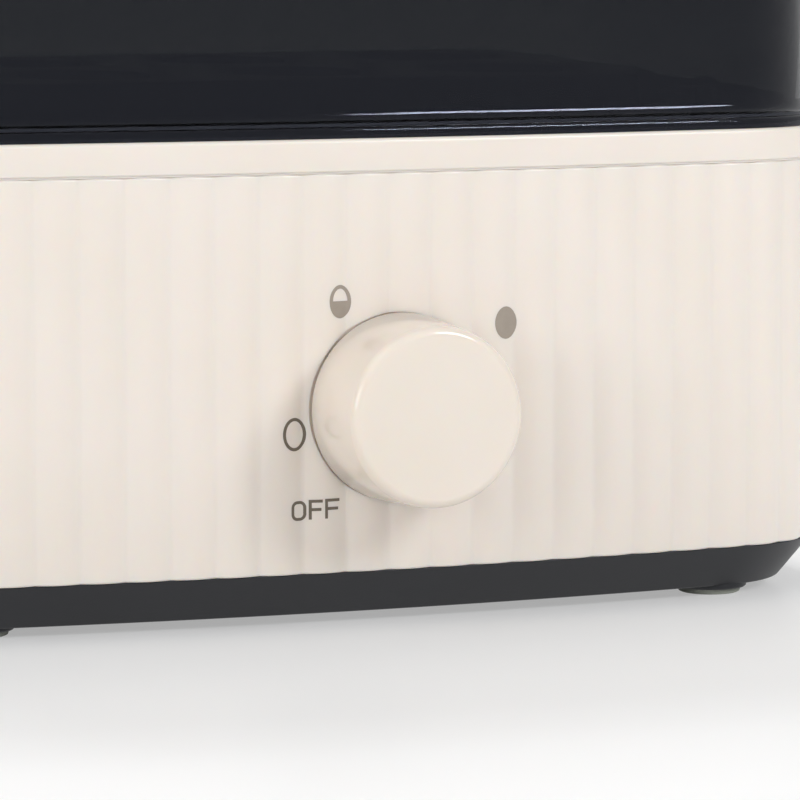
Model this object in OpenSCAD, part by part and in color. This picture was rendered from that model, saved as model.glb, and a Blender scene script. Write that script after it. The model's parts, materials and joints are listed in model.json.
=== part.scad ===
// Electric egg cooker: ribbed housing with a rotary control, water pan, egg tray and smoked lid.
// Millimetres, +Z up, the knob faces -Y. The origin is the bottom centre of the bounding box, on the ground.

/* [Body] */
// Width over the rib crests
body_w = 214; // [204:1:224]
// Depth over the rib crests
body_d = 146; // [142:1:158]
// Bow radius of the front and the back
bow_r = 670; // [600:10:900]
// Bow radius of the two ends
end_bow_r = 250; // [200:10:500]
// Corner radius seen from above
corner_r = 30; // [26:0.5:34]
// Height of the ribbed shell
shell_h = 75.6; // [74:0.1:90]
// Wall of the shell behind the rib valleys
shell_wall = 2.0; // [1.6:0.1:2.4]
// Ribs round the whole shell, an even number
rib_count = 74; // [66:2:82]
// Depth of the valleys between the ribs
rib_depth = 0.7; // [0.4:0.1:1]

/* [Base and feet] */
// Height of the tapered base
base_h = 8.8; // [8.5:0.1:11]
// How far the base tapers in at its bottom
base_taper = 7.4; // [5:0.1:8]
// Thickness of the base floor
base_floor = 2.2; // [1.8:0.1:2.8]
// Radius of a rubber foot pad
pad_r = 6.2; // [5.5:0.1:6.8]
// Height of a rubber foot pad under its boss
pad_h = 1.1; // [0.9:0.1:2]
// Radius of the moulded boss over a foot pad
boss_r = 7.4; // [7:0.1:8]
// Height of the moulded boss over a foot pad
boss_h = 0.9; // [0.6:0.1:1.5]
// Foot centre in from the two ends
foot_side = 31; // [29:0.5:33]
// Foot centre in from the front and the back
foot_inset = 19.5; // [18:0.5:22]

/* [Rim and pan] */
// Height of the smooth rim band
rim_h = 6.5; // [6:0.1:8]
// Shadow gap between the shell and the rim
seam_gap = 0.4; // [0.2:0.1:0.6]
// Width of the rim's top land outside the pan
rim_land = 5; // [4.6:0.1:5.2]
// Edge radius of the rim
rim_edge_r = 0.8; // [0.4:0.1:1.2]
// Depth of the water pan
pan_depth = 16.3; // [14:0.1:17]
// Sheet thickness of the water pan
pan_t = 0.6; // [0.5:0.1:0.8]
// Inside radius where the pan wall meets its floor
pan_floor_r = 6.2; // [5:0.1:6.6]
// Thickness of the seal under the pan flange
seal_t = 0.8; // [0.6:0.1:1.2]

/* [Egg tray] */
// Distance between egg seats
egg_pitch = 44; // [42:0.5:46]
// Radius of the hole an egg stands in
seat_r = 17.5; // [16:0.5:18.5]
// Height of the raised deck over the rim
deck_rise = 9.9; // [9:0.1:13]
// Deck edge beyond the outer seat centres
deck_margin = 26; // [23:0.5:27]
// Plastic thickness of the tray
tray_t = 1.8; // [1.5:0.1:2.2]
// Length of a lifting lug
lug_len = 32; // [24:1:40]
// Height of a lifting lug over the tray's edge
lug_h = 5.4; // [4:0.1:6]

/* [Lid] */
// Height of the lid from the rim to its shoulder
lid_h = 62; // [58:0.5:70]
// Wall of the lid
lid_t = 2; // [1.8:0.1:2.4]
// Height of the lid's outer lip
lip_h = 2.2; // [2:0.1:3]
// Setback of the lip from the rim face
lip_in = 0.9; // [0.5:0.1:1.2]
// Setback of the lid wall from the rim face
lid_in = 3.4; // [3.1:0.1:4]
// Radius of the lid's top edge
lid_edge_r = 12; // [10:0.5:13]
// Length of the lid handle
handle_l = 84; // [76:1:92]
// Height of the lid handle
handle_h = 20; // [18:0.5:26]
// Width of the lid handle
handle_w = 17; // [15:0.5:20]
// Finger gap under the lid handle
handle_gap = 12; // [10:0.5:13]

/* [Knob and control] */
// Knob axis from the body's middle, across
knob_x = 2; // [0:0.5:4]
// Knob axis above the shell's lower edge
knob_rise = 31.2; // [30:0.1:33]
// Radius of the knob at its base
knob_r = 18; // [17:0.1:20]
// Radius of the knob's flat face
knob_face_r = 15.2; // [14.5:0.1:15.8]
// Reach of the knob in front of the rib crests
knob_reach = 20.3; // [19.5:0.1:22]
// Running gap between the knob and the rib crests
knob_gap = 0.6; // [0.4:0.1:1]
// Radius of the control shaft
shaft_r = 3; // [2.9:0.05:3.2]
// Radial running clearance of the shaft in its bush
shaft_play = 0.05; // [0.03:0.01:0.08]
// Width of the control body
control_w = 36; // [32:0.5:37]
// Height of the control body
control_h = 32; // [28:0.5:33]
// Depth of the control body
control_d = 20; // [18:0.5:22]

/* [Heater and wiring] */
// Length of the heat plate
plate_l = 120; // [116:1:124]
// Width of the heat plate
plate_w = 76; // [74:1:80]
// Thickness of the heat plate
plate_t = 5; // [4:0.5:6]
// Radius of the heating tube
tube_r = 3.2; // [3:0.1:3.5]
// Half the distance between the legs of the heating tube
tube_half = 22; // [21:0.5:23]
// Gap between the heat plate and the heat shield
shield_gap = 9; // [8.5:0.5:10]
// Sheet thickness of the heat shield and its brackets
sheet_t = 0.8; // [0.6:0.1:1]
// Radius of the cord passage in the gland
cord_r = 3.5; // [3:0.1:3.8]
// Reach of the cord gland behind the rib crests
gland_reach = 2.2; // [1.5:0.1:3]
// Height of the cord gland over the shell's lower edge
gland_rise = 15; // [14:0.5:20]
// Radius of an insulated lead
lead_r = 1.4; // [1:0.1:1.6]

/* [Hidden] */
$fn = 64;
eps = 0.01;

// Levels above the ground
base_z = pad_h + boss_h;
shell_z = base_z + base_h;
rim_z = shell_z + shell_h;
rim_top = rim_z + rim_h;
knob_z = shell_z + knob_rise;
gland_z = shell_z + gland_rise;
front_y = -body_d / 2;
back_y = body_d / 2;
body_y = (knob_reach - gland_reach) / 2;

// Corner centre, where the bow and the end bow are both tangent to the corner arc
bow_y = body_d / 2 - bow_r;
end_x = body_w / 2 - end_bow_r;
bow_link = bow_r - corner_r;
end_link = end_bow_r - corner_r;
link = norm([end_x, bow_y]);
link_x = end_x / link;
link_y = -bow_y / link;
link_foot = (bow_link * bow_link - end_link * end_link + link * link) / (2 * link);
link_rise = sqrt(bow_link * bow_link - link_foot * link_foot);
corner = [link_foot * link_x + link_rise * link_y, bow_y + link_foot * link_y - link_rise * link_x];
bow_half = asin(corner.x / bow_link);
end_half = asin(corner.y / end_link);

// Stations round the outline, anticlockwise: arc centre, arc radius, direction of the outward normal
bow_steps = 8;
end_steps = 6;
corner_steps = 8;
function arc_stations(cx, cy, r, from, to, steps) =
    [for (i = [0 : steps - 1]) [cx, cy, r, from + (to - from) * i / steps]];
stations = concat(
    arc_stations(end_x, 0, end_bow_r, -end_half, end_half, end_steps),
    arc_stations(corner.x, corner.y, corner_r, end_half, 90 - bow_half, corner_steps),
    arc_stations(0, bow_y, bow_r, 90 - bow_half, 90 + bow_half, bow_steps),
    arc_stations(-corner.x, corner.y, corner_r, 90 + bow_half, 180 - end_half, corner_steps),
    arc_stations(-end_x, 0, end_bow_r, 180 - end_half, 180 + end_half, end_steps),
    arc_stations(-corner.x, -corner.y, corner_r, 180 + end_half, 270 - bow_half, corner_steps),
    arc_stations(0, -bow_y, bow_r, 270 - bow_half, 270 + bow_half, bow_steps),
    arc_stations(corner.x, -corner.y, corner_r, 270 + bow_half, 360 - end_half, corner_steps)
);
function polar(c, r, a) = [c[0] + r * cos(a), c[1] + r * sin(a)];
function outline(inset) = [for (s = stations) polar(s, s[2] - inset, s[3])];
function level(points, z, scale = 1) = [for (p = points) [p[0] * scale, p[1] * scale, z]];
// Half the depth of the outline at a distance across, less an inset
function depth_at(x, inset) = bow_y + sqrt((bow_r - inset) * (bow_r - inset) - x * x);
// Points of an arc, for sections written as [inset, height]
function bend(cx, cz, r, from, to, steps) =
    [for (i = [0 : steps]) polar([cx, cz], r, from + (to - from) * i / steps)];

// Ribs: one quarter of the outline walked by arc length, then mirrored into the other three; a valley lies mid-front
rib_steps = 6;
end_len = end_bow_r * end_half * PI / 180;
corner_len = corner_r * (90 - bow_half - end_half) * PI / 180;
quarter_len = end_len + corner_len + bow_r * bow_half * PI / 180;
function turn(len, r) = len / r * 180 / PI;
function walk(u, inset) =
    u < end_len ? polar([end_x, 0], end_bow_r - inset, turn(u, end_bow_r))
    : u < end_len + corner_len ? polar(corner, corner_r - inset, end_half + turn(u - end_len, corner_r))
    : polar([0, bow_y], bow_r - inset, 90 - bow_half + turn(u - end_len - corner_len, bow_r));
last = rib_count * rib_steps / 4;
function rib_inset(i) = rib_depth * pow(2 * ((last - i) % rib_steps) / rib_steps - 1, 2);
quarter = [for (i = [0 : last]) walk(quarter_len * i / last, rib_inset(i))];
ribbed_outline = concat(
    [for (i = [0 : last - 1]) quarter[i]],
    [for (i = [0 : last - 1]) [-quarter[last - i].x, quarter[last - i].y]],
    [for (i = [0 : last - 1]) -quarter[i]],
    [for (i = [0 : last - 1]) [quarter[last - i].x, -quarter[last - i].y]]
);

// Shell and base fits
shell_in = rib_depth + shell_wall;
spigot_play = 0.15;
spigot_t = 1.8;
spigot_in = shell_in + spigot_play;
spigot_h = 4.5;
screw_play = 0.05;
screw_r = 1.45;
pilot_r = screw_r + screw_play;
hole_r = 1.75;
head_r = 2.9;
head_h = 2.2;
post_r = 4;
post_side = 45;
post_x = body_w / 2 - post_side;
post_inset = 13;
post_y = depth_at(post_x, post_inset);
post_z = shell_z + 1;
post_h = 18;
post_end = 4;
web_t = 2;
web_z = shell_z + spigot_h + 0.5;
well_r = 4.6;
well_head_r = head_r + 0.4;
well_roof = 2.5;
foot_x = body_w / 2 - foot_side;
foot_y = back_y - foot_inset;
stem_r = 2.4;
stem_head_r = 3.2;
slot_w = 3;
slot_l = 26;
slot_x = 26;
slot_pitch = 8;
slot_pairs = 2;

// Frame, pan and the screws that join shell, shield and frame
pan_drop = 0.3;
pan_top = rim_top - pan_drop;
ledge_z = pan_top - pan_t - seal_t;
shelf_t = 2.5;
shelf_z = ledge_z - shelf_t;
frame_in = rim_land + 5.6;
pan_wall_in = frame_in + 0.6;
pan_lip_in = rim_land + 0.2;
pan_bend_r = 1.2;
pan_floor_z = pan_top - pan_depth;
pan_under_z = pan_floor_z - pan_t;
frame_boss_side = 57;
frame_boss_x = body_w / 2 - frame_boss_side;
frame_boss_in = 7;
frame_boss_y = depth_at(frame_boss_x, frame_boss_in);
frame_boss_r = 3.4;
frame_boss_z = pan_under_z;
shell_lug_t = 3;
shell_lug_z = frame_boss_z - shell_lug_t;
frame_bite = 7;

// Heater stack under the pan
plate_z = pan_under_z - plate_t;
shield_floor_z = plate_z - shield_gap - sheet_t;
shield_flange_z = shell_lug_z - sheet_t;
shield_edge_in = shell_in + 0.5;
shield_wall_in = 15;
stud_x = plate_l / 2 - 12;
stud_y = plate_w / 2 - 6;
stud_r = 2;
stud_play = 0.2;
nut_h = 3.2;
stud_end = 1;
tube_bend_x = -28;
tube_end_x = plate_l / 2 - 2;
bead_r = 2.9;
bead_l = 4;
tab_w = 6.3;
tab_t = 0.8;
tab_l = 8;
tab_end_x = tube_end_x + bead_l + tab_l;
lead_drop_x = tab_end_x + 6;
lead_hole_r = 3.5;
stat_cap_r = 8.2;
stat_cap_h = 1.6;
stat_r = 7.4;
stat_h = 5.8;
stat_strap_x = 20;
stat_strap_w = 20;
fuse_r = 2;
fuse_l = 30;
fuse_y = 32;

// Control behind the front wall and the knob in front of it
recess_r = 11;
recess_depth = 1;
landing_r = 13;
landing_depth = 4.5;
bush_r = 4.8;
bush_flange_r = 7;
bush_flange_t = 1;
bush_out = 3.5;
bracket_t = 1.2;
bracket_w = 52;
bracket_h = 28;
bracket_screw_x = 22;
bracket_boss_r = 3.2;
bracket_screw_l = 3.4;
bracket_head_r = 2.6;
bracket_head_h = 1.6;
pilot_play = 0.4;
control_depth = landing_depth + bracket_t;
control_edge_r = 4;
cam_r = 12;
cam_h = 2;
blade_x = 14;
shaft_bite = 8;
shaft_depth = control_depth + shaft_bite;
shaft_out = knob_reach - 5.6;
flat_at = shaft_r - 1;
flat_play = 0.1;
clip_t = 0.5;
clip_w = 4;
clip_l = 7.8;
nut_r = 8.1;
control_nut_h = 2.5;
knob_wall = 2.2;
knob_edge_r = 1.9;
knob_draft = 4;
core_r = 7.5;
core_out = 5;
socket_t = 1.6;
socket_l = 6;
knob_under = knob_reach - knob_wall;

// Gland and wiring
gland_w = 16;
gland_corner_r = 3;
gland_neck_w = 11.2;
gland_inner_t = 2;
block_x = 34;
block_y = 40;
block_w = 34;
block_d = 18;
block_h = 14;
pole_pitch = 10;
pole_z = 6.5;
pole_r = 2;
pole_screw_y = 4.5;
pole_screw_r = 1.8;
pole_screw_h = 4;
buzzer_x = -44;
buzzer_y = -18;
buzzer_r = 11;
buzzer_h = 8;
sound_hole_r = 1.5;
floor_z = base_z + base_floor;
lead_steps = 4;
lead_sides = 8;
lead_stub = 6;
blade_stub = 8;
shield_hole_clear = 3;
live_route = [[12, 6, 14], [-6, -12, 26]];
switched_route = [[36, -26, 46], [62, -24, 52]];
neutral_route = [[56, 24, 20], [70, 22, 40]];
earth_route = [[36, 18, 30], [30, 12, 50]];
earth_end = [26, 8, 0];

// Tray and lid
tray_edge_in = lid_in + lid_t + 1;
deck_w = 2 * (egg_pitch + deck_margin);
deck_d = egg_pitch + 2 * deck_margin;
deck_r = 12;
deck_top = rim_top + deck_rise;
collar_h = 7;
collar_drop_r = 1.5;
guide_in = pan_wall_in + pan_t + 1;
guide_h = 4;
lug_x = deck_w / 2 + 9.5;
lug_t = 3;
lug_r = 4;
peg_x = deck_w / 2 + 10;
peg_y = deck_d / 2 - 8;
peg_r = 2.2;
peg_h = 7;
drain_r = 2.5;
lid_fillet_r = 1.2;
lid_step = 2.8;
lid_draft = 0.5;
lid_crown = [[0.9, 1], [0.8, 1.4]];
lid_roof = rim_top + lid_h + lid_crown[1][1];
steam_x = 56;
steam_pitch = 7;
steam_r = 1.1;
handle_leg = 14;
handle_shoulder_r = 9;
handle_edge_r = 5;
handle_screw_x = handle_l / 2 - handle_leg / 2 - 1;
washer_r = 5;
washer_t = 1;
handle_head_r = 3.2;
handle_head_h = 2.2;
handle_screw_l = 11;

module on_body() translate([0, body_y, 0]) children();

// Places +Z along +Y at the knob axis, a depth behind the rib crests
module behind_knob(depth) translate([knob_x, front_y + depth, knob_z]) rotate([-90, 0, 0]) children();

// Places +Z along -Y at the knob axis, a reach in front of the rib crests
module before_knob(reach) translate([knob_x, front_y - reach, knob_z]) rotate([90, 0, 0]) children();

// One copy in each quarter, mirrored so that +X and +Y point outwards
module four(x, y) for (mx = [0, 1], my = [0, 1])
    mirror([mx, 0, 0]) mirror([0, my, 0]) translate([x, y, 0]) children();

module round_rect(w, d, r) {
    square([w - 2 * r, d], center = true);
    square([w, d - 2 * r], center = true);
    for (sx = [-1, 1], sy = [-1, 1])
        translate([sx * (w / 2 - r), sy * (d / 2 - r)]) circle(r);
}

// Slab of the outline, moved in by an inset
module slab(inset, z, h) translate([0, 0, z]) linear_extrude(h) polygon(outline(inset));

// Flat or upright ring that follows the outline between two insets
module band(outer_in, inner_in, z, h) translate([0, 0, z]) linear_extrude(h) difference() {
    polygon(outline(outer_in));
    polygon(outline(inner_in));
}

// Skin over a stack of rings, closed at the first and the last
module loft(rings) {
    n = len(rings[0]);
    top = (len(rings) - 1) * n;
    sides = [for (k = [0 : len(rings) - 2], i = [0 : n - 1])
        let (j = (i + 1) % n) [k * n + i, (k + 1) * n + i, (k + 1) * n + j, k * n + j]];
    polyhedron(
        [for (ring = rings) each ring],
        concat([[for (i = [0 : n - 1]) i]], sides, [[for (i = [n - 1 : -1 : 0]) top + i]])
    );
}

// Ring whose section, a list of [inset, height] going up its outer side first, follows the outline
module around(section) {
    n = len(stations);
    m = len(section);
    polyhedron(
        [for (p = section) each level(outline(p[0]), p[1])],
        [for (k = [0 : m - 1], i = [0 : n - 1])
            let (j = (i + 1) % n, l = (k + 1) % m) [k * n + i, l * n + i, l * n + j, k * n + j]]
    );
}

module fluted_shell() color("antiquewhite") on_body() difference() {
    union() {
        difference() {
            translate([0, 0, shell_z]) linear_extrude(shell_h) polygon(ribbed_outline);
            slab(shell_in, shell_z - 1, shell_h + 2);
        }
        shell_posts();
        shell_lugs();
        behind_knob(shell_in - 1) cylinder(r = landing_r, h = landing_depth - shell_in + 1);
        for (s = [-1, 1])
            behind_knob(shell_in - 0.5) translate([s * bracket_screw_x, 0, 0])
                cylinder(r = bracket_boss_r, h = landing_depth - shell_in + 0.5);
    }
    four(post_x, post_y) translate([0, 0, post_z - 1]) cylinder(r = pilot_r, h = post_h - 1);
    four(frame_boss_x, frame_boss_y) translate([0, 0, shell_lug_z - 1])
        cylinder(r = hole_r, h = shell_lug_t + 2);
    behind_knob(-1) cylinder(r = recess_r, h = recess_depth + 1);
    behind_knob(-1) cylinder(r = bush_r + stud_play, h = landing_depth + 2);
    for (s = [-1, 1])
        behind_knob(control_depth - bracket_screw_l - pilot_play)
            translate([s * bracket_screw_x, 0, 0]) cylinder(r = pilot_r, h = bracket_screw_l);
    translate([0, back_y + 1, gland_z]) rotate([90, 0, 0]) {
        linear_extrude(recess_depth + 1) round_rect(gland_w + 1.2, gland_w + 1.2, gland_corner_r + 0.6);
        linear_extrude(8) square(gland_neck_w + 2 * screw_play, center = true);
    }
}

// Upright screw posts, each on a web that ties it to the wall
module shell_posts() four(post_x, post_y) {
    translate([0, 0, post_z]) cylinder(r = post_r, h = post_h);
    translate([-web_t / 2, 0, web_z]) cube([web_t, post_inset - shell_in + 0.5, post_z + post_h - web_z]);
}

// Small shelves high on the wall that take the frame screws
module shell_lugs() four(frame_boss_x, frame_boss_y) translate([0, 0, shell_lug_z]) {
    cylinder(r = frame_boss_r, h = shell_lug_t);
    translate([-frame_boss_r, 0, 0]) cube([2 * frame_boss_r, frame_boss_in - shell_in + 0.4, shell_lug_t]);
}

module top_frame() color("antiquewhite") on_body() difference() {
    union() {
        around(concat(
            bend(rim_edge_r, rim_top - rim_edge_r, rim_edge_r, 180, 90, 3),
            [[rim_land, rim_top], [rim_land, ledge_z], [frame_in, ledge_z], [frame_in, shelf_z],
             [spigot_in + spigot_t, shelf_z], [spigot_in + spigot_t, rim_z - spigot_h],
             [spigot_in, rim_z - spigot_h], [spigot_in, rim_z], [1, rim_z], [1, rim_z + seam_gap],
             [0, rim_z + seam_gap]]
        ));
        four(frame_boss_x, frame_boss_y) translate([0, 0, frame_boss_z])
            cylinder(r = frame_boss_r, h = shelf_z - frame_boss_z + 1);
    }
    four(frame_boss_x, frame_boss_y) translate([0, 0, frame_boss_z - 1]) cylinder(r = pilot_r, h = 10);
}

module heating_pan() color("silver") on_body() {
    wall_r = pan_floor_r + pan_t;
    floor_cx = pan_wall_in + wall_r;
    floor_cz = pan_under_z + wall_r;
    bend_cx = pan_wall_in - pan_bend_r;
    bend_cz = pan_top - pan_t - pan_bend_r;
    section = concat(
        bend(floor_cx, floor_cz, wall_r, 270, 180, 4),
        bend(bend_cx, bend_cz, pan_bend_r, 0, 90, 2),
        [[pan_lip_in, pan_top - pan_t], [pan_lip_in, pan_top]],
        bend(bend_cx, bend_cz, pan_bend_r + pan_t, 90, 0, 2),
        bend(floor_cx, floor_cz, pan_floor_r, 180, 270, 4)
    );
    loft([for (p = section) level(outline(p[0]), p[1])]);
}

module pan_seal() color("dimgray") on_body() band(pan_lip_in + 0.4, frame_in - 0.6, ledge_z, seal_t);

// Weld studs that carry the heat plate and pull the pan down on its seal
module pan_studs() color("gray") on_body() four(stud_x, stud_y) {
    stud_z = shield_floor_z - nut_h - stud_end;
    translate([0, 0, stud_z]) cylinder(r = stud_r, h = pan_under_z - stud_z);
}

module heating_tube(r, end_x) {
    for (s = [-1, 1])
        translate([tube_bend_x, s * tube_half, plate_z]) rotate([0, 90, 0])
            cylinder(r = r, h = end_x - tube_bend_x);
    translate([tube_bend_x, 0, plate_z]) rotate([0, 0, 90]) rotate_extrude(angle = 180)
        translate([tube_half, 0]) circle(r);
}

module heat_plate() color("lightgray") on_body() difference() {
    translate([0, 0, plate_z]) linear_extrude(plate_t) round_rect(plate_l, plate_w, deck_r);
    heating_tube(tube_r + screw_play, plate_l);
    four(stud_x, stud_y) translate([0, 0, plate_z - 1]) cylinder(r = stud_r + stud_play, h = plate_t + 2);
    for (s = [-1, 1]) translate([s * stat_strap_x, 0, plate_z - 1]) cylinder(r = pilot_r, h = plate_t);
}

module heating_element() color("dimgray") on_body() heating_tube(tube_r, tube_end_x);

module element_terminals() color("gold") on_body() for (s = [-1, 1])
    translate([tube_end_x, s * tube_half, plate_z]) {
        rotate([0, 90, 0]) cylinder(r = bead_r, h = bead_l);
        translate([bead_l - 1, -tab_w / 2, -tab_t / 2]) cube([tab_l + 1, tab_w, tab_t]);
    }

module thermostat() color("ivory") on_body() {
    translate([0, 0, plate_z - stat_cap_h]) cylinder(r = stat_cap_r, h = stat_cap_h);
    translate([0, 0, plate_z - stat_cap_h - stat_h]) cylinder(r = stat_r, h = stat_h);
    translate([-stat_r - tab_l, -tab_w / 2, plate_z - stat_cap_h - stat_h])
        cube([2 * (stat_r + tab_l), tab_w, tab_t]);
}

// Strap that holds the thermostat by its cap, stepped up to the heat plate at both ends
module thermostat_bracket() color("silver") on_body() {
    strap_z = plate_z - stat_cap_h - sheet_t;
    step_x = stat_strap_x - 7;
    end_x = stat_strap_x + 6;
    difference() {
        union() {
            translate([-step_x, -stat_strap_w / 2, strap_z]) cube([2 * step_x, stat_strap_w, sheet_t]);
            for (s = [-1, 1]) {
                translate([s * (step_x - sheet_t / 2), 0, (strap_z + plate_z) / 2])
                    cube([sheet_t, stat_strap_w, plate_z - strap_z], center = true);
                translate([s * (end_x + step_x - sheet_t) / 2, 0, plate_z - sheet_t / 2])
                    cube([end_x - step_x + sheet_t, stat_strap_w, sheet_t], center = true);
            }
        }
        translate([0, 0, strap_z - 1]) cylinder(r = stat_r + stud_play, h = sheet_t + 2);
        for (s = [-1, 1])
            translate([s * stat_strap_x, 0, plate_z - sheet_t - 1]) cylinder(r = hole_r, h = sheet_t + 2);
    }
}

// Pan-head screw that points along +Z, its head below the seat
module screw(r, length, cap_r, cap_h) {
    cylinder(r = r, h = length);
    translate([0, 0, -cap_h]) cylinder(r = cap_r, h = cap_h);
}

module thermostat_screws() color("gray") on_body() for (s = [-1, 1])
    translate([s * stat_strap_x, 0, plate_z - sheet_t]) screw(screw_r, plate_t - 2, head_r, head_h - 0.6);

module thermal_fuse() color("white") on_body()
    translate([-fuse_l / 2, fuse_y, plate_z - fuse_r]) rotate([0, 90, 0]) cylinder(r = fuse_r, h = fuse_l);

// Saddle that presses the fuse against the heat plate
module fuse_clip() color("silver") on_body() {
    saddle_r = fuse_r + screw_play;
    saddle_w = 8;
    wing = 3;
    translate([-saddle_w / 2, fuse_y, plate_z]) rotate([90, 0, 90]) linear_extrude(saddle_w) difference() {
        union() {
            translate([0, -fuse_r]) circle(saddle_r + sheet_t);
            translate([0, -sheet_t / 2]) square([2 * (saddle_r + sheet_t + wing), sheet_t], center = true);
        }
        translate([0, -fuse_r]) circle(saddle_r);
        translate([0, -fuse_r / 2]) square([2 * saddle_r, fuse_r], center = true);
        translate([0, fuse_r]) square([8 * fuse_r, 2 * fuse_r], center = true);
    }
}

// Dish under the heater; its flange is clamped between the shell lugs and the frame screws
module heat_shield() color("silver") on_body() difference() {
    union() {
        band(shield_edge_in, shield_wall_in + sheet_t, shield_flange_z, sheet_t);
        band(shield_wall_in, shield_wall_in + sheet_t, shield_floor_z, shield_flange_z - shield_floor_z);
        slab(shield_wall_in, shield_floor_z, sheet_t);
    }
    four(frame_boss_x, frame_boss_y) translate([0, 0, shield_flange_z - 1]) cylinder(r = hole_r, h = sheet_t + 2);
    four(stud_x, stud_y) translate([0, 0, shield_floor_z - 1]) cylinder(r = stud_r + stud_play, h = sheet_t + 2);
    for (s = [-1, 1])
        translate([lead_drop_x, s * tube_half, shield_floor_z - 1]) cylinder(r = lead_hole_r, h = sheet_t + 2);
}

module stud_spacers() color("gray") on_body() four(stud_x, stud_y)
    translate([0, 0, shield_floor_z + sheet_t]) linear_extrude(shield_gap) difference() {
        circle(stud_r + 1.6);
        circle(stud_r + stud_play);
    }

module pan_nuts() color("gray") on_body() four(stud_x, stud_y)
    translate([0, 0, shield_floor_z - nut_h]) linear_extrude(nut_h) difference() {
        circle(r = 4, $fn = 6);
        circle(stud_r + screw_play);
    }

module frame_screws() color("gray") on_body() four(frame_boss_x, frame_boss_y)
    translate([0, 0, shield_flange_z]) screw(screw_r, sheet_t + shell_lug_t + frame_bite, head_r, head_h);

module base_plate() color("darkslategray") on_body() difference() {
    union() {
        base_dish();
        four(post_x, post_y) translate([0, 0, base_z]) cylinder(r = well_r, h = post_z - base_z);
        four(foot_x, foot_y) translate([0, 0, pad_h]) cylinder(r = boss_r, h = boss_h + 1);
    }
    four(post_x, post_y) {
        translate([0, 0, base_z - 1]) cylinder(r = well_head_r, h = post_z - well_roof - base_z + 1);
        translate([0, 0, base_z]) cylinder(r = hole_r, h = post_z - base_z + 1);
    }
    four(foot_x, foot_y) cylinder(r = stem_r + screw_play, h = floor_z + 1);
    for (i = [-slot_pairs : slot_pairs], s = [-1, 1])
        translate([s * slot_x, i * slot_pitch, base_z - 1]) linear_extrude(base_floor + 2)
            round_rect(slot_l, slot_w, slot_w / 2 - eps);
}

// Tapered dish with a spigot that stands inside the shell
module base_dish() {
    edge_in = 0.6;
    slope_z = base_z + 1.2;
    inner_in = base_taper + 2.6;
    section = [
        [base_taper + 1.6, base_z], [base_taper + 0.5, base_z + 0.35], [base_taper - 0.2, slope_z],
        [edge_in, shell_z], [spigot_in, shell_z], [spigot_in, shell_z + spigot_h],
        [spigot_in + spigot_t, shell_z + spigot_h], [spigot_in + spigot_t, shell_z - 1],
        [inner_in, floor_z]
    ];
    loft([for (p = section) level(outline(p[0]), p[1])]);
}

module base_screws() color("gray") on_body() four(post_x, post_y)
    translate([0, 0, post_z - well_roof]) screw(screw_r, well_roof + post_h - post_end, head_r, head_h);

module rubber_feet() color("dimgray") on_body() four(foot_x, foot_y) rotate_extrude()
    polygon([
        [0, 0], [pad_r - 0.4, 0], [pad_r, 0.4], [pad_r, pad_h], [stem_r, pad_h], [stem_r, floor_z],
        [stem_head_r, floor_z], [stem_head_r - 0.6, floor_z + 1.4], [0, floor_z + 1.4]
    ]);

module control_body() color("tan") on_body() difference() {
    union() {
        behind_knob(control_depth) linear_extrude(control_d) round_rect(control_w, control_h, control_edge_r);
        behind_knob(control_depth + control_d - 1) cylinder(r = cam_r, h = cam_h + 1);
    }
    behind_knob(control_depth - 1) cylinder(r = bush_flange_r + screw_play, h = bush_flange_t + 1);
    behind_knob(control_depth) cylinder(r = shaft_r + pilot_play, h = shaft_bite + 1);
}

module control_bracket() color("silver") on_body() behind_knob(landing_depth) linear_extrude(bracket_t)
    difference() {
        round_rect(bracket_w, bracket_h, 5);
        circle(bush_r + screw_play);
        for (s = [-1, 1]) translate([s * bracket_screw_x, 0]) circle(hole_r);
    }

module control_bush() color("silver") on_body() difference() {
    union() {
        behind_knob(-bush_out) cylinder(r = bush_r, h = bush_out + control_depth + bush_flange_t);
        behind_knob(control_depth) cylinder(r = bush_flange_r, h = bush_flange_t);
    }
    behind_knob(-bush_out - 1) cylinder(r = shaft_r + shaft_play, h = bush_out + control_depth + 3);
}

module control_nut() color("silver") on_body() behind_knob(recess_depth - control_nut_h)
    linear_extrude(control_nut_h) difference() {
        circle(r = nut_r, $fn = 6);
        circle(bush_r + screw_play);
    }

module control_screws() color("gray") on_body() for (s = [-1, 1])
    before_knob(-control_depth) translate([s * bracket_screw_x, 0, 0])
        screw(screw_r, bracket_screw_l, bracket_head_r, bracket_head_h);

module control_terminals() color("gold") on_body() for (s = [-1, 1])
    behind_knob(control_depth + control_d) translate([s * blade_x - tab_t / 2, -tab_w / 2, 0])
        cube([tab_t, tab_w, tab_l]);

// Round shaft with a flat for the knob
module control_shaft() color("silver") on_body() difference() {
    behind_knob(-shaft_out) cylinder(r = shaft_r, h = shaft_out + shaft_depth);
    before_knob(bush_out + 1) translate([-shaft_r - 1, flat_at, 0]) cube([2 * shaft_r + 2, shaft_r, shaft_out]);
}

module knob_cap() color("antiquewhite") on_body() {
    edge_c = knob_reach - knob_edge_r;
    inner_r = knob_face_r + knob_edge_r - knob_wall;
    before_knob(0) rotate_extrude($fn = 96) polygon(concat(
        [[0, knob_reach]],
        bend(knob_face_r, edge_c, knob_edge_r, 90, knob_draft, 6),
        [[knob_r, knob_gap + 0.3], [knob_r - 0.3, knob_gap], [knob_r - knob_wall, knob_gap],
         [inner_r, knob_under], [core_r + socket_t, knob_under], [core_r + socket_t, knob_under - socket_l],
         [core_r + screw_play, knob_under - socket_l], [core_r + screw_play, knob_under], [0, knob_under]]
    ));
}

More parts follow.
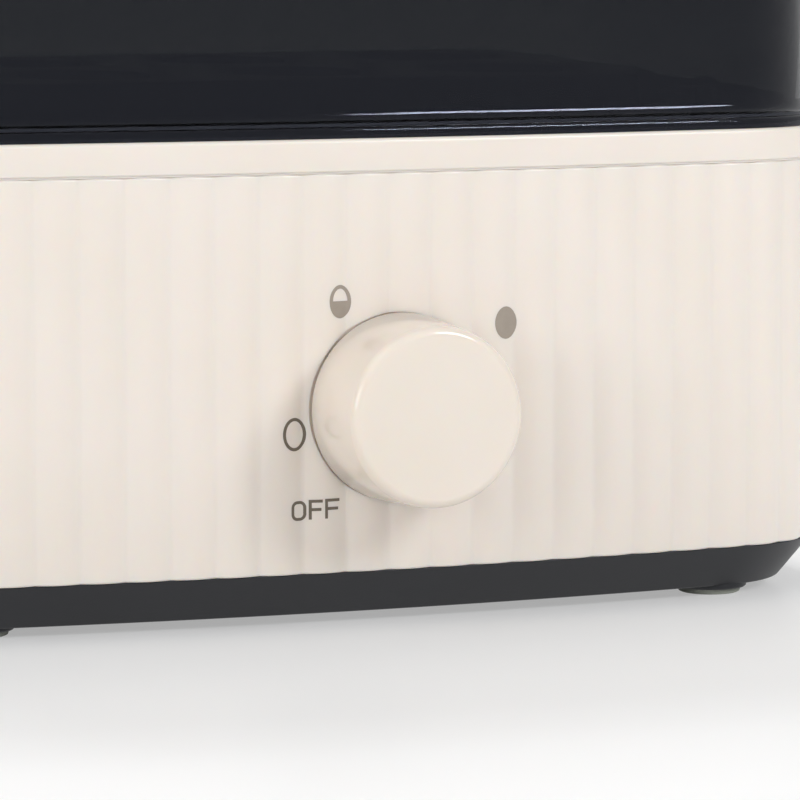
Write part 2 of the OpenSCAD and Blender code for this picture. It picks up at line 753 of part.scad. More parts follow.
// Hub pressed into the cap's socket, with a D bore and a pocket for the spring clip
module knob_core() color("dimgray") on_body() difference() {
    before_knob(core_out) cylinder(r = core_r, h = knob_under - core_out);
    difference() {
        before_knob(core_out - 1) cylinder(r = shaft_r + screw_play, h = shaft_out - core_out + 1 + stud_play);
        before_knob(core_out - 2) translate([-core_r, flat_at + flat_play + clip_t, 0])
            cube([2 * core_r, core_r, knob_reach]);
    }
    before_knob(core_out - 1) translate([-clip_w / 2 - flat_play, flat_at - flat_play, 0])
        cube([clip_w + 2 * flat_play, clip_t + 2.5 * flat_play, clip_l + 1 + stud_play]);
}

module knob_clip() color("silver") on_body()
    before_knob(core_out) translate([-clip_w / 2, flat_at + screw_play, 0]) cube([clip_w, clip_t, clip_l]);

module buzzer() color("black") on_body() translate([buzzer_x, buzzer_y, floor_z]) rotate_extrude()
    polygon([[0, 0], [buzzer_r, 0], [buzzer_r, buzzer_h - 1], [buzzer_r - 1, buzzer_h], [sound_hole_r, buzzer_h],
             [sound_hole_r, buzzer_h - 2], [0, buzzer_h - 2]]);

module terminal_block() color("white") on_body() translate([block_x, block_y, floor_z]) difference() {
    linear_extrude(block_h) round_rect(block_w, block_d, pole_r);
    for (i = [-1 : 1]) {
        translate([i * pole_pitch, block_d, pole_z]) rotate([90, 0, 0]) cylinder(r = pole_r, h = 2 * block_d);
        for (s = [-1, 1])
            translate([i * pole_pitch, s * pole_screw_y, pole_z]) cylinder(r = pole_screw_r, h = block_h);
    }
}

module terminal_screws() color("gold") on_body() translate([block_x, block_y, floor_z])
    for (i = [-1 : 1], s = [-1, 1]) translate([i * pole_pitch, s * pole_screw_y, pole_z + pole_r + stud_play])
        cylinder(r = pole_screw_r - screw_play, h = pole_screw_h);

// Rubber bush with a square neck that can't turn, a flange on each side of the wall and a free passage for the cord
module cord_gland() color("black") on_body() translate([0, back_y + gland_reach, gland_z]) rotate([90, 0, 0])
    difference() {
        seat = gland_reach + recess_depth;
        wall_end = gland_reach + shell_in + spigot_play;
        union() {
            translate([0, 0, 0.8]) linear_extrude(seat - 0.8) round_rect(gland_w, gland_w, gland_corner_r);
            linear_extrude(seat) round_rect(gland_w - 1.6, gland_w - 1.6, gland_corner_r);
            linear_extrude(wall_end + 1) square(gland_neck_w, center = true);
            translate([0, 0, wall_end]) linear_extrude(gland_inner_t) round_rect(gland_w, gland_w, gland_corner_r);
        }
        translate([0, 0, -1]) cylinder(r = cord_r, h = wall_end + gland_inner_t + 2);
    }

// Round lead along a smooth path through its points, square to the first and the last stretch
function blend_point(p, q, r, s, t) = 0.5 * (2 * q + (r - p) * t + (2 * p - 5 * q + 4 * r - s) * t * t
    + (3 * q - p - 3 * r + s) * t * t * t);
function smooth(path) = let (m = len(path) - 1) concat(
    [for (k = [0 : m - 1], i = [0 : lead_steps - 1])
        blend_point(path[max(k - 1, 0)], path[k], path[k + 1], path[min(k + 2, m)], i / lead_steps)],
    [path[m]]
);
function unit(v) = v / norm(v);
function square_to(v, along) = unit(v - (v * along) * along);
module lead(path) {
    line = smooth(path);
    m = len(line) - 1;
    heading = [for (k = [0 : m])
        k == 0 ? unit(path[1] - path[0])
        : k == m ? unit(path[len(path) - 1] - path[len(path) - 2])
        : unit(line[k + 1] - line[k - 1])];
    sides = [for (k = 0, v = square_to([0.3, 0.2, 0.9], heading[0]); k <= m; k = k + 1,
        v = square_to(v, heading[min(k, m)])) v];
    loft([for (k = [0 : m]) let (up = cross(sides[k], heading[k]))
        [for (i = [0 : lead_sides - 1])
            line[k] + lead_r * (cos(360 * i / lead_sides) * sides[k] - sin(360 * i / lead_sides) * up)]]);
}

// Pole of the terminal block and the two blade ends that the leads run between
function pole(i) = [block_x + i * pole_pitch, block_y - block_d / 2, floor_z + pole_z];
function blade(s) = [knob_x + s * blade_x, front_y + control_depth + control_d + tab_l, knob_z];
function heater_tab(s) = [tab_end_x, s * tube_half, plate_z];

// The last stretch of a heater lead: up through its hole in the shield and onto its tab
function up_to_tab(s) = [[lead_drop_x, s * tube_half, shield_floor_z - shield_hole_clear],
    [lead_drop_x, s * tube_half, shield_floor_z + shield_hole_clear],
    heater_tab(s) + [shield_hole_clear, 0, 0], heater_tab(s)];
function out_of_pole(i) = [pole(i), pole(i) + [0, -lead_stub, 0]];

module live_lead() color("brown") on_body()
    lead(concat(out_of_pole(-1), live_route, [blade(-1) + [0, blade_stub, 0], blade(-1)]));

module switched_lead() color("black") on_body()
    lead(concat([blade(1), blade(1) + [0, blade_stub, 0]], switched_route, up_to_tab(-1)));

module neutral_lead() color("steelblue") on_body()
    lead(concat(out_of_pole(1), neutral_route, up_to_tab(1)));

module earth_lead() color("yellowgreen") on_body() {
    end = earth_end + [0, 0, shield_floor_z];
    lead(concat(out_of_pole(0), earth_route, [end - [0, 0, lead_stub - 2], end]));
}

module lid_shell() color([0.2, 0.2, 0.23, 0.6]) on_body() {
    shoulder = rim_top + lid_h;
    edge_in = lid_in + lid_draft + lid_edge_r;
    edge_z = shoulder - lid_edge_r;
    lip_r = 0.9;
    wall_z = rim_top + lip_h + lid_step - lid_fillet_r;
    outer = concat(
        [[lip_in, rim_top]],
        bend(lip_in + lip_r, rim_top + lip_h - lip_r, lip_r, 180, 100, 3),
        bend(lid_in - lid_fillet_r, wall_z + lid_fillet_r, lid_fillet_r, 285, 360, 3),
        bend(edge_in, edge_z, lid_edge_r, 180, 90, 5)
    );
    inner = concat(
        bend(edge_in, edge_z, lid_edge_r - lid_t, 90, 180, 5),
        [[lid_in + lid_t, rim_top]]
    );
    top_in = outline(edge_in);
    difference() {
        loft(concat(
            [for (c = [lid_crown[1], lid_crown[0]]) level(top_in, shoulder - lid_t + c[1], c[0])],
            [for (p = inner) level(outline(p[0]), p[1])],
            [for (p = outer) level(outline(p[0]), p[1])],
            [for (c = lid_crown) level(top_in, shoulder + c[1], c[0])]
        ));
        for (s = [-1, 1]) {
            translate([s * handle_screw_x, 0, lid_roof - lid_t - 1]) cylinder(r = hole_r, h = lid_t + 2);
            for (i = [-2 : 2]) translate([s * steam_x, i * steam_pitch, lid_roof - lid_t - 1])
                cylinder(r = steam_r, h = lid_t + 2);
        }
    }
}

// Arch with rounded shoulders, screwed on from inside the lid
module lid_handle() color("antiquewhite") on_body() translate([0, 0, lid_roof]) difference() {
    intersection() {
        translate([0, handle_w / 2, 0]) rotate([90, 0, 0]) linear_extrude(handle_w) difference() {
            round_rect(handle_l, 2 * handle_h, handle_shoulder_r);
            round_rect(handle_l - 2 * handle_leg, 2 * handle_gap, handle_edge_r);
            translate([0, -handle_h]) square([2 * handle_l, 2 * handle_h], center = true);
        }
        rotate([90, 0, 90]) linear_extrude(handle_l + 2, center = true)
            round_rect(handle_w, 2 * handle_h, handle_edge_r);
    }
    for (s = [-1, 1]) translate([s * handle_screw_x, 0, -1]) cylinder(r = pilot_r, h = handle_screw_l);
}

module handle_washers() color("dimgray") on_body() for (s = [-1, 1])
    translate([s * handle_screw_x, 0, lid_roof - lid_t - washer_t]) linear_extrude(washer_t) difference() {
        circle(washer_r);
        circle(hole_r);
    }

module handle_screws() color("silver") on_body() for (s = [-1, 1])
    translate([s * handle_screw_x, 0, lid_roof - lid_t - washer_t])
        screw(screw_r, handle_screw_l + lid_t + washer_t - 2, handle_head_r, handle_head_h);

module seats() for (i = [-1 : 1], s = [-1, 1]) translate([i * egg_pitch, s * egg_pitch / 2, 0]) children();

// Tray: edge that rests on the pan flange, raised deck with six egg seats, two lifting lugs and four pegs
module egg_tray() color("darkslategray") on_body() {
    difference() {
        slab(tray_edge_in, pan_top, tray_t);
        translate([0, 0, pan_top - 1]) linear_extrude(tray_t + 2)
            round_rect(deck_w - 2 * tray_t, deck_d - 2 * tray_t, deck_r - tray_t);
    }
    translate([0, 0, pan_top]) linear_extrude(deck_top - pan_top) difference() {
        round_rect(deck_w, deck_d, deck_r);
        round_rect(deck_w - 2 * tray_t, deck_d - 2 * tray_t, deck_r - tray_t);
    }
    translate([0, 0, deck_top - tray_t]) linear_extrude(tray_t) difference() {
        round_rect(deck_w, deck_d, deck_r);
        seats() circle(seat_r + tray_t / 2);
        for (s = [-1, 1]) translate([s * egg_pitch / 2, 0]) circle(drain_r);
    }
    seats() translate([0, 0, deck_top]) rotate_extrude() polygon([
        [seat_r, 0], [seat_r - collar_drop_r, -collar_h], [seat_r - collar_drop_r + tray_t, -collar_h],
        [seat_r + tray_t, 0]
    ]);
    band(guide_in, guide_in + tray_t, pan_top - guide_h, guide_h);
    for (s = [-1, 1]) translate([s * lug_x, 0, pan_top + tray_t]) rotate([90, 0, 90])
        linear_extrude(lug_t, center = true) difference() {
            round_rect(lug_len, 2 * lug_h, lug_r);
            translate([0, -deck_rise]) square([2 * lug_len, 2 * deck_rise], center = true);
        }
    four(peg_x, peg_y) translate([0, 0, pan_top + tray_t]) cylinder(r = peg_r, h = peg_h);
}

fluted_shell();
top_frame();
heating_pan();
pan_seal();
pan_studs();
heat_plate();
heating_element();
element_terminals();
thermostat();
thermostat_bracket();
thermostat_screws();
thermal_fuse();
fuse_clip();
heat_shield();
stud_spacers();
pan_nuts();
frame_screws();
base_plate();
base_screws();
rubber_feet();
control_body();
control_bracket();
control_bush();
control_nut();
control_screws();
control_terminals();
control_shaft();
knob_cap();
knob_core();
knob_clip();
buzzer();
terminal_block();
terminal_screws();
cord_gland();
live_lead();
switched_lead();
neutral_lead();
earth_lead();
lid_shell();
lid_handle();
handle_screws();
handle_washers();
egg_tray();
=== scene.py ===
# Electric egg cooker: ribbed cream housing, rotary control, smoked lid, dark base on rubber feet.
# Lengths are in mm round the body's own middle; addPiece turns them into metres and puts them in the frame.
import json
import math

import bmesh
import bpy
from mathutils import Matrix, Vector


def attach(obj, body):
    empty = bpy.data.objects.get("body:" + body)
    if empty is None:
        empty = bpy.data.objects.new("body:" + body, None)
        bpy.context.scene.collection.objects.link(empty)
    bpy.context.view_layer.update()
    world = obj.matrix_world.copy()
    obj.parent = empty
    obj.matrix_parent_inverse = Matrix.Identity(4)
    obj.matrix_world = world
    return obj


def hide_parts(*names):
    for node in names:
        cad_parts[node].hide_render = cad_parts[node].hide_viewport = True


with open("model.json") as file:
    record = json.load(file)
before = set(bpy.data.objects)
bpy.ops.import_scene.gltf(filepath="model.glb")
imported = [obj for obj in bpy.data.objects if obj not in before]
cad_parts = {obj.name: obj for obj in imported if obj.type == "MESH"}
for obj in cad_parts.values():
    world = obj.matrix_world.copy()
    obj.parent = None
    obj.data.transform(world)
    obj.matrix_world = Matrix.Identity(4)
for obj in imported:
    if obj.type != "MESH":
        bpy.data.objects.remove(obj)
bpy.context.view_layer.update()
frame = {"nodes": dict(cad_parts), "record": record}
nodes = frame["nodes"]
print("frame loaded:", len(nodes), "nodes")

mm = 0.001
quarterTurn = math.pi / 2

housing = {
    "width": 214, "depth": 146, "bow": 670, "endBow": 250, "corner": 30,
    "middleY": 9.05,                # the body's middle lies this far behind the frame's origin
    "bottom": 10.8, "top": 86.4, "wall": 2.7, "edge": 0.5,
    "ribs": 74, "ribDepth": 0.7, "ribSteps": 14, "valleySoft": 0.07,
    "bowSteps": 48, "endSteps": 36, "cornerSteps": 20,
}
control = {"x": 2, "z": 42, "recess": 11, "bore": 5, "recessDepth": 1, "grooveIn": 16.6, "grooveOut": 18.03,
           "groove": 1.3}
# How far cutters run past what they cut, past a curved face, and into the shell
cuts = {"past": 1, "far": 2, "shellDeep": 8}

front = -housing["depth"] / 2
back = housing["depth"] / 2
bowY = back - housing["bow"]
endX = housing["width"] / 2 - housing["endBow"]
fiveInRow = range(-2, 3)            # five places about the middle


def cornerCentre():
    a = housing["bow"] - housing["corner"]
    b = housing["endBow"] - housing["corner"]
    link = math.hypot(endX, bowY)
    foot = (a * a - b * b + link * link) / (2 * link)
    rise = math.sqrt(a * a - foot * foot)
    ux, uy = endX / link, -bowY / link
    return foot * ux + rise * uy, bowY + foot * uy - rise * ux


cornerX, cornerY = cornerCentre()
bowHalf = math.asin(cornerX / (housing["bow"] - housing["corner"]))
endHalf = math.asin(cornerY / (housing["endBow"] - housing["corner"]))


# Plan outline of the housing moved in by an inset: two bows, two end bows and four corner arcs
def outline(inset):
    arcs = [
        (endX, 0, housing["endBow"], -endHalf, endHalf, housing["endSteps"]),
        (cornerX, cornerY, housing["corner"], endHalf, quarterTurn - bowHalf, housing["cornerSteps"]),
        (0, bowY, housing["bow"], quarterTurn - bowHalf, quarterTurn + bowHalf, housing["bowSteps"]),
        (-cornerX, cornerY, housing["corner"], quarterTurn + bowHalf, math.pi - endHalf,
         housing["cornerSteps"]),
    ]
    points = []
    for side in (1, -1):
        for cx, cy, r, start, end, steps in arcs:
            for i in range(steps):
                a = start + (end - start) * i / steps
                points.append((side * (cx + (r - inset) * math.cos(a)),
                               side * (cy + (r - inset) * math.sin(a))))
    return points


endLength = housing["endBow"] * endHalf
cornerLength = housing["corner"] * (quarterTurn - bowHalf - endHalf)
quarterLength = endLength + cornerLength + housing["bow"] * bowHalf
ribPitch = quarterLength * 4 / housing["ribs"]


# Point on the outline at an arc length from the right end's middle
def walk(length, inset):
    if length < endLength:
        a, cx, cy, r = length / housing["endBow"], endX, 0, housing["endBow"]
    elif length < endLength + cornerLength:
        a = endHalf + (length - endLength) / housing["corner"]
        cx, cy, r = cornerX, cornerY, housing["corner"]
    else:
        a = quarterTurn - bowHalf + (length - endLength - cornerLength) / housing["bow"]
        cx, cy, r = 0, bowY, housing["bow"]
    return cx + (r - inset) * math.cos(a), cy + (r - inset) * math.sin(a)


# Depth of the rib profile below its crest, at a share of the pitch that starts in a valley
def ribInset(share):
    away = 1 - abs(2 * (share % 1) - 1)
    soft = housing["valleySoft"]
    away = math.sqrt(away * away + soft * soft) - soft
    return housing["ribDepth"] * (1 - away) ** 2


def ribbedOutline(inset, ribbed=True):
    steps = housing["ribs"] * housing["ribSteps"] // 4
    quarter = []
    for i in range(steps + 1):
        depth = ribInset((steps - i) / housing["ribSteps"]) if ribbed else 0
        quarter.append(walk(quarterLength * i / steps, inset + depth))
    points = quarter[:-1]
    points += [(-x, y) for x, y in reversed(quarter[1:])]
    points += [(-x, -y) for x, y in quarter[:-1]]
    points += [(x, -y) for x, y in reversed(quarter[1:])]
    return points


# Y of the ribbed front at a distance across
def frontY(x):
    length = housing["bow"] * math.asin(x / housing["bow"])
    r = housing["bow"] - ribInset(length / ribPitch)
    return -(bowY + math.sqrt(r * r - x * x))


def level(points, z, scale=1):
    return [(x * scale, y * scale, z) for x, y in points]


# Points of an arc in a section, angles in degrees
def bend(cx, cz, r, start, end, steps):
    return [(cx + r * math.cos(math.radians(start + (end - start) * i / steps)),
             cz + r * math.sin(math.radians(start + (end - start) * i / steps))) for i in range(steps + 1)]


def roundRect(w, d, r, steps=10, cx=0, cy=0):
    points = []
    for sx, sy, start in ((1, 1, 0), (-1, 1, 90), (-1, -1, 180), (1, -1, 270)):
        points += bend(cx + sx * (w / 2 - r), cy + sy * (d / 2 - r), r, start, start + 90, steps)
    return points


def circlePoints(cx, cy, r, steps=64):
    return [(cx + r * math.cos(2 * math.pi * i / steps), cy + r * math.sin(2 * math.pi * i / steps))
            for i in range(steps)]


# Points closer than the weld become one, and faces thinner than the sliver go
tolerance = {"weld": 1e-4, "sliver": 1e-5}


def finishMesh(work, name):
    bmesh.ops.remove_doubles(work, verts=work.verts, dist=tolerance["weld"])
    bmesh.ops.dissolve_degenerate(work, dist=tolerance["sliver"], edges=work.edges)
    bmesh.ops.recalc_face_normals(work, faces=work.faces)
    mesh = bpy.data.meshes.new(name)
    work.to_mesh(mesh)
    work.free()
    return mesh


# Skin over a stack of rings of equal length; a closed stack is a ring tube, an open one is capped
def loft(name, rings, closed=False):
    work = bmesh.new()
    rows = [[work.verts.new(p) for p in ring] for ring in rings]
    n = len(rows[0])
    pairs = list(zip(rows, rows[1:])) + ([(rows[-1], rows[0])] if closed else [])
    for low, high in pairs:
        for i in range(n):
            work.faces.new((low[i], low[(i + 1) % n], high[(i + 1) % n], high[i]))
    if not closed:
        work.faces.new(rows[0][::-1])
        work.faces.new(rows[-1])
    return finishMesh(work, name)


# Section of (inset, height) points that follows the outline
def around(name, section, closed=True):
    return loft(name, [level(outline(inset), z) for inset, z in section], closed)


# Closed section of (radius, height) points turned round +Z
def lathe(name, section, steps):
    return loft(name, [level(circlePoints(0, 0, r, steps), z) for r, z in section], closed=True)


def prism(name, points, low, high):
    return loft(name, [level(points, low), level(points, high)])


# Flat mesh: the first loop is its edge, the others its holes; with a thickness every edge is rounded
def flatMesh(name, loops, thick=0, edge=0):
    curve = bpy.data.curves.new(name, "CURVE")
    curve.dimensions = "2D"
    curve.fill_mode = "BOTH"
    curve.extrude = thick / 2 - edge
    curve.bevel_depth = edge
    curve.bevel_resolution = 2
    curve.offset = -edge
    for loop in loops:
        spline = curve.splines.new("POLY")
        spline.points.add(len(loop) - 1)
        for point, (x, y) in zip(spline.points, loop):
            point.co = (x, y, 0, 1)
        spline.use_cyclic_u = True
    holder = bpy.data.objects.new(name, curve)
    bpy.context.scene.collection.objects.link(holder)
    mesh = bpy.data.meshes.new_from_object(holder.evaluated_get(bpy.context.evaluated_depsgraph_get()))
    bpy.data.objects.remove(holder)
    return mesh


def plate(name, loops, low, high, edge):
    mesh = flatMesh(name, loops, high - low, edge)
    mesh.transform(Matrix.Translation((0, 0, (low + high) / 2)))
    work = bmesh.new()
    work.from_mesh(mesh)
    return finishMesh(work, name)


def moved(mesh, matrix):
    mesh.transform(matrix)
    if matrix.determinant() < 0:
        mesh.flip_normals()
    return mesh


def shift(x, y, z):
    return Matrix.Translation((x, y, z))


# Turns +Z to -Y, so that a turned or extruded piece points out of the front; for the knob, on its axis
frontwards = Matrix.Rotation(quarterTurn, 4, "X")
knobPlace = shift(control["x"], front, control["z"]) @ frontwards


def together(name, meshes):
    work = bmesh.new()
    for mesh in meshes:
        work.from_mesh(mesh)
        bpy.data.meshes.remove(mesh)
    mesh = bpy.data.meshes.new(name)
    work.to_mesh(mesh)
    work.free()
    return mesh


# Four copies, mirrored so that each has +X and +Y outwards
def inCorners(name, maker, x, y):
    meshes = []
    for sx in (1, -1):
        for sy in (1, -1):
            meshes.append(moved(maker(), Matrix.Diagonal((sx, sy, 1, 1)) @ shift(x, y, 0)))
    return together(name, meshes)


def addPiece(name, mesh, material, body, replaced, sharp=32, cutters=()):
    piece = bpy.data.objects.new(name, mesh)
    bpy.context.scene.collection.objects.link(piece)
    for cutter in cutters:
        holder = bpy.data.objects.new(name + "_cutter", cutter)
        bpy.context.scene.collection.objects.link(holder)
        hole = piece.modifiers.new("hole", "BOOLEAN")
        hole.operation = "DIFFERENCE"
        hole.solver = "EXACT"
        hole.object = holder
        cut = bpy.data.meshes.new_from_object(piece.evaluated_get(bpy.context.evaluated_depsgraph_get()))
        piece.modifiers.clear()
        piece.data = cut
        bpy.data.objects.remove(holder)
    mesh = piece.data
    mesh.name = name
    mesh.transform(Matrix.Scale(mm, 4) @ shift(0, housing["middleY"], 0))
    mesh.shade_smooth()
    mesh.set_sharp_from_angle(angle=math.radians(sharp))
    mesh.materials.clear()
    mesh.materials.append(material)
    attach(piece, body)
    if replaced:
        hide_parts(*replaced)


def linear(hexColour):
    parts = [int(hexColour[i:i + 2], 16) / 255 for i in (1, 3, 5)]
    return [c / 12.92 if c <= 0.04045 else ((c + 0.055) / 1.055) ** 2.4 for c in parts] + [1]


# Adds one node: settings by property or input name, links by input name or number
def addNode(tree, kind, settings=None, links=None):
    node = tree.nodes.new("ShaderNode" + kind)
    for key, value in (settings or {}).items():
        if isinstance(key, int) or key in node.inputs:
            node.inputs[key].default_value = value
        else:
            setattr(node, key, value)
    for key, source in (links or {}).items():
        tree.links.new(source, node.inputs[key])
    return node


def startMaterial(name):
    material = bpy.data.materials.new(name)
    material.use_nodes = True
    tree = material.node_tree
    tree.nodes.clear()
    place = addNode(tree, "TexCoord").outputs["Object"]
    return material, tree, place


def endMaterial(tree, shader):
    addNode(tree, "OutputMaterial", links={"Surface": shader.outputs[0]})


# Where the mottle starts and ends as shares of its noise, and how far the light spreads in soft plastic
mould = {"mottleFrom": 0.35, "mottleTo": 0.65, "mottleDetail": 3, "grainDetail": 2, "wander": 0.03,
         "scatter": (1.0, 0.6, 0.3), "scatterMm": 2.5}


# Moulded plastic or rubber: slow mottle in the colour, grain in the surface, roughness that wanders a little
def moulded(name, colour, mottle, roughness, ior, grainMm, grainDepthMm, mottleMm=30, soft=0):
    material, tree, place = startMaterial(name)
    slow = addNode(tree, "TexNoise", {"Scale": 1 / (mottleMm * mm), "Detail": mould["mottleDetail"]},
                   {"Vector": place})
    tint = addNode(tree, "ValToRGB", links={"Fac": slow.outputs["Fac"]})
    tint.color_ramp.elements[0].position = mould["mottleFrom"]
    tint.color_ramp.elements[0].color = linear(mottle)
    tint.color_ramp.elements[1].position = mould["mottleTo"]
    tint.color_ramp.elements[1].color = linear(colour)
    grain = addNode(tree, "TexNoise", {"Scale": 1 / (grainMm * mm), "Detail": mould["grainDetail"]},
                    {"Vector": place})
    rough = addNode(tree, "MapRange",
                    {"To Min": roughness - mould["wander"], "To Max": roughness + mould["wander"]},
                    {"Value": slow.outputs["Fac"]})
    bump = addNode(tree, "Bump", {"Strength": 1.0, "Distance": grainDepthMm * mm},
                   {"Height": grain.outputs["Fac"]})
    shader = addNode(tree, "BsdfPrincipled", {
        "IOR": ior, "Subsurface Weight": soft, "Subsurface Radius": mould["scatter"],
        "Subsurface Scale": mould["scatterMm"] * mm}, {
        "Base Color": tint.outputs["Color"], "Roughness": rough.outputs["Result"],
        "Normal": bump.outputs["Normal"]})
    endMaterial(tree, shader)
    return material


# Cream ABS from a semi-gloss mould: warm white, light goes a little way in, broad soft highlights
creamAbs = moulded("creamAbsSemiGloss", "#f0e6dd", "#eee4da", 0.30, 1.54, 1.6, 0.004, soft=0.35)
# The same ABS from a polished mould: bright, nearly sharp highlight lines on the knob's and handle's edges;
# its colour is a little warmer and darker than the shell's, painted shade for the warm light the shell
# bounces onto the knob
knobAbs = moulded("creamAbsPolished", "#efe4d9", "#ede2d5", 0.13, 1.54, 2.0, 0.003, soft=0.35)
# Charcoal polypropylene from a spark-eroded mould: satin, fine grain
charcoalPp = moulded("charcoalPpSatin", "#16181e", "#15161c", 0.42, 1.49, 0.5, 0.012)
# Black polypropylene from a bright mould: dark, its highlights clear enough to show through the lid's wall
trayPp = moulded("blackPpGloss", "#22242a", "#1f2126", 0.14, 1.49, 0.5, 0.010)
# Silicone rubber from a plain mould: pale grey and dull, with no clear highlight
footRubber = moulded("siliconeRubberFeet", "#a3a69c", "#9b9e94", 0.6, 1.42, 0.4, 0.01)
# Charcoal rubber from a plain mould: dull black
glandRubber = moulded("charcoalRubber", "#2e3032", "#2a2c2e", 0.55, 1.5, 0.5, 0.015)
# Pad-printed ink: flat taupe, thin in the filled eggs and dense in the lines and letters
padInk = moulded("taupePadInk", "#a2978b", "#9e9387", 0.5, 1.5, 0.3, 0.003, mottleMm=2)
padInkDark = moulded("taupePadInkDense", "#6f6557", "#6b6153", 0.5, 1.5, 0.3, 0.003, mottleMm=2)

# The gloss tint is painted reflection: it darkens and blues everything the lid mirrors, in place of a dark
# bluish room
san = {"ior": 1.57, "roughness": 0.03, "gloss": (0.62, 0.66, 0.84, 1.0), "clear": ("#f6f7f8", "#fdfefe"),
       "cloudMm": 60, "rippleMm": 14, "rippleDepthMm": 0.001, "smoke": (0.055, 0.06, 0.035, 1),
       "density": 1150.0}


# Smoked SAN, injection moulded and polished: nearly black by reflected light, grey against a lamp; 2 mm of it
# pass about a ninth of the light, and its edges stay dark because the light has further to go in them. Its
# reflections are made darker and bluer by a painted reflection tint, which stands in for a dark bluish room
def smokedSan():
    material, tree, place = startMaterial("smokedSanClear")
    slow = addNode(tree, "TexNoise", {"Scale": 1 / (san["cloudMm"] * mm), "Detail": 2}, {"Vector": place})
    tint = addNode(tree, "ValToRGB", links={"Fac": slow.outputs["Fac"]})
    for element, colour in zip(tint.color_ramp.elements, san["clear"]):
        element.color = linear(colour)
    ripple = addNode(tree, "TexNoise", {"Scale": 1 / (san["rippleMm"] * mm), "Detail": 1}, {"Vector": place})
    bump = addNode(tree, "Bump", {"Strength": 1.0, "Distance": san["rippleDepthMm"] * mm},
                   {"Height": ripple.outputs["Fac"]})
    shader = addNode(tree, "BsdfPrincipled", {
        "IOR": san["ior"], "Roughness": san["roughness"], "Transmission Weight": 1.0,
        "Specular Tint": san["gloss"]}, {
        "Base Color": tint.outputs["Color"], "Normal": bump.outputs["Normal"]})
    smoke = addNode(tree, "VolumeAbsorption", {"Color": san["smoke"], "Density": san["density"]})
    addNode(tree, "OutputMaterial", links={"Surface": shader.outputs[0], "Volume": smoke.outputs[0]})
    return material


metal = {"stainMm": 22, "stainFrom": 0.3, "stainTo": 0.7, "stainShade": 0.9, "smoother": 0.06,
         "rougher": 0.08, "scratchMm": 0.006}


# Bare metal: fine streaks in its polish, which a stretch draws out lengthwise, and slow stains in its colour
def bareMetal(name, colour, roughness, streakMm, stretch=(1, 1, 1)):
    material, tree, place = startMaterial(name)
    drawn = addNode(tree, "Mapping", {"Scale": stretch}, {"Vector": place}).outputs["Vector"]
    streak = addNode(tree, "TexNoise", {"Scale": 1 / (streakMm * mm), "Detail": 3}, {"Vector": drawn})
    stain = addNode(tree, "TexNoise", {"Scale": 1 / (metal["stainMm"] * mm), "Detail": 4}, {"Vector": place})
    tint = addNode(tree, "ValToRGB", links={"Fac": stain.outputs["Fac"]})
    tint.color_ramp.elements[0].position = metal["stainFrom"]
    tint.color_ramp.elements[0].color = [c * metal["stainShade"] for c in linear(colour)[:3]] + [1]
    tint.color_ramp.elements[1].position = metal["stainTo"]
    tint.color_ramp.elements[1].color = linear(colour)
    rough = addNode(tree, "MapRange",
                    {"To Min": roughness - metal["smoother"], "To Max": roughness + metal["rougher"]},
                    {"Value": streak.outputs["Fac"]})
    bump = addNode(tree, "Bump", {"Strength": 1.0, "Distance": metal["scratchMm"] * mm},
                   {"Height": streak.outputs["Fac"]})
    shader = addNode(tree, "BsdfPrincipled", {"Metallic": 1.0}, {
        "Base Color": tint.outputs["Color"], "Roughness": rough.outputs["Result"],
        "Normal": bump.outputs["Normal"]})
    endMaterial(tree, shader)
    return material


smokedLid = smokedSan()
# Deep-drawn stainless steel, satin polished: long soft streaks across the pan's floor
panSteel = bareMetal("stainlessSteelSatin", "#c9c8c6", 0.26, 0.6, (0.06, 1, 1))
# Zinc plated steel: duller and a little blue
plainSteel = bareMetal("zincPlatedSteel", "#b4b6b8", 0.38, 1.2)
print("materials made")

# Cord gland: rubber bush with a square neck, a rounded square flange and a free passage; the nose gives how
# far the flange's corners draw in at each depth behind its outer face
gland = {"z": 25.8, "reach": 2.2, "bore": 3.5, "half": 8, "corner": 3, "neckHalf": 5.6, "neckCorner": 0.3,
         "inner": 2, "boreEdge": 0.3, "innerEdge": 0.4, "wallPlay": 0.15, "seatDepth": 1, "seatPlay": 1.2,
         "seatCornerPlay": 0.6, "neckPlay": 0.1, "cutCorner": 0.1,
         "nose": ((1.3, 0), (0.85, 0.1), (0.35, 0.45), (0.1, 0.9), (0, 1.4))}


def glandRings():
    half, neck, corner, bore = gland["half"], gland["neckHalf"], gland["corner"], gland["bore"]
    seat, neckCorner, tip = gland["reach"] + gland["seatDepth"], gland["neckCorner"], gland["innerEdge"]
    wallEnd = gland["reach"] + housing["wall"] + gland["wallPlay"]
    end = wallEnd + gland["inner"]
    section = [(bore + gland["boreEdge"], bore + gland["boreEdge"], 0)]
    section += [(half - drawn, corner, depth) for drawn, depth in gland["nose"]]
    section += [(half, corner, seat), (neck, neckCorner, seat), (neck, neckCorner, wallEnd),
                (half, corner, wallEnd), (half - tip, corner, end - tip), (half - 2 * tip, corner, end),
                (bore, bore, end), (bore, bore, gland["boreEdge"])]
    return [level(roundRect(2 * w, 2 * w, r, 12), z) for w, r, z in section]


# Housing shell: seventy-four shallow ribs, with a small round at both lips
def shellRings():
    bottom, top, edge = housing["bottom"], housing["top"], housing["edge"]
    section = bend(edge, bottom + edge, edge, 270, 180, 4) + bend(edge, top - edge, edge, 180, 90, 4)
    rings = [level(ribbedOutline(inset), z) for inset, z in section]
    return rings + [level(ribbedOutline(housing["wall"], False), z) for z in (top, bottom)]


def alongY(points, cx, cz, fromY, toY):
    return moved(prism("bore", points, -toY, -fromY), shift(cx, 0, cz) @ frontwards)


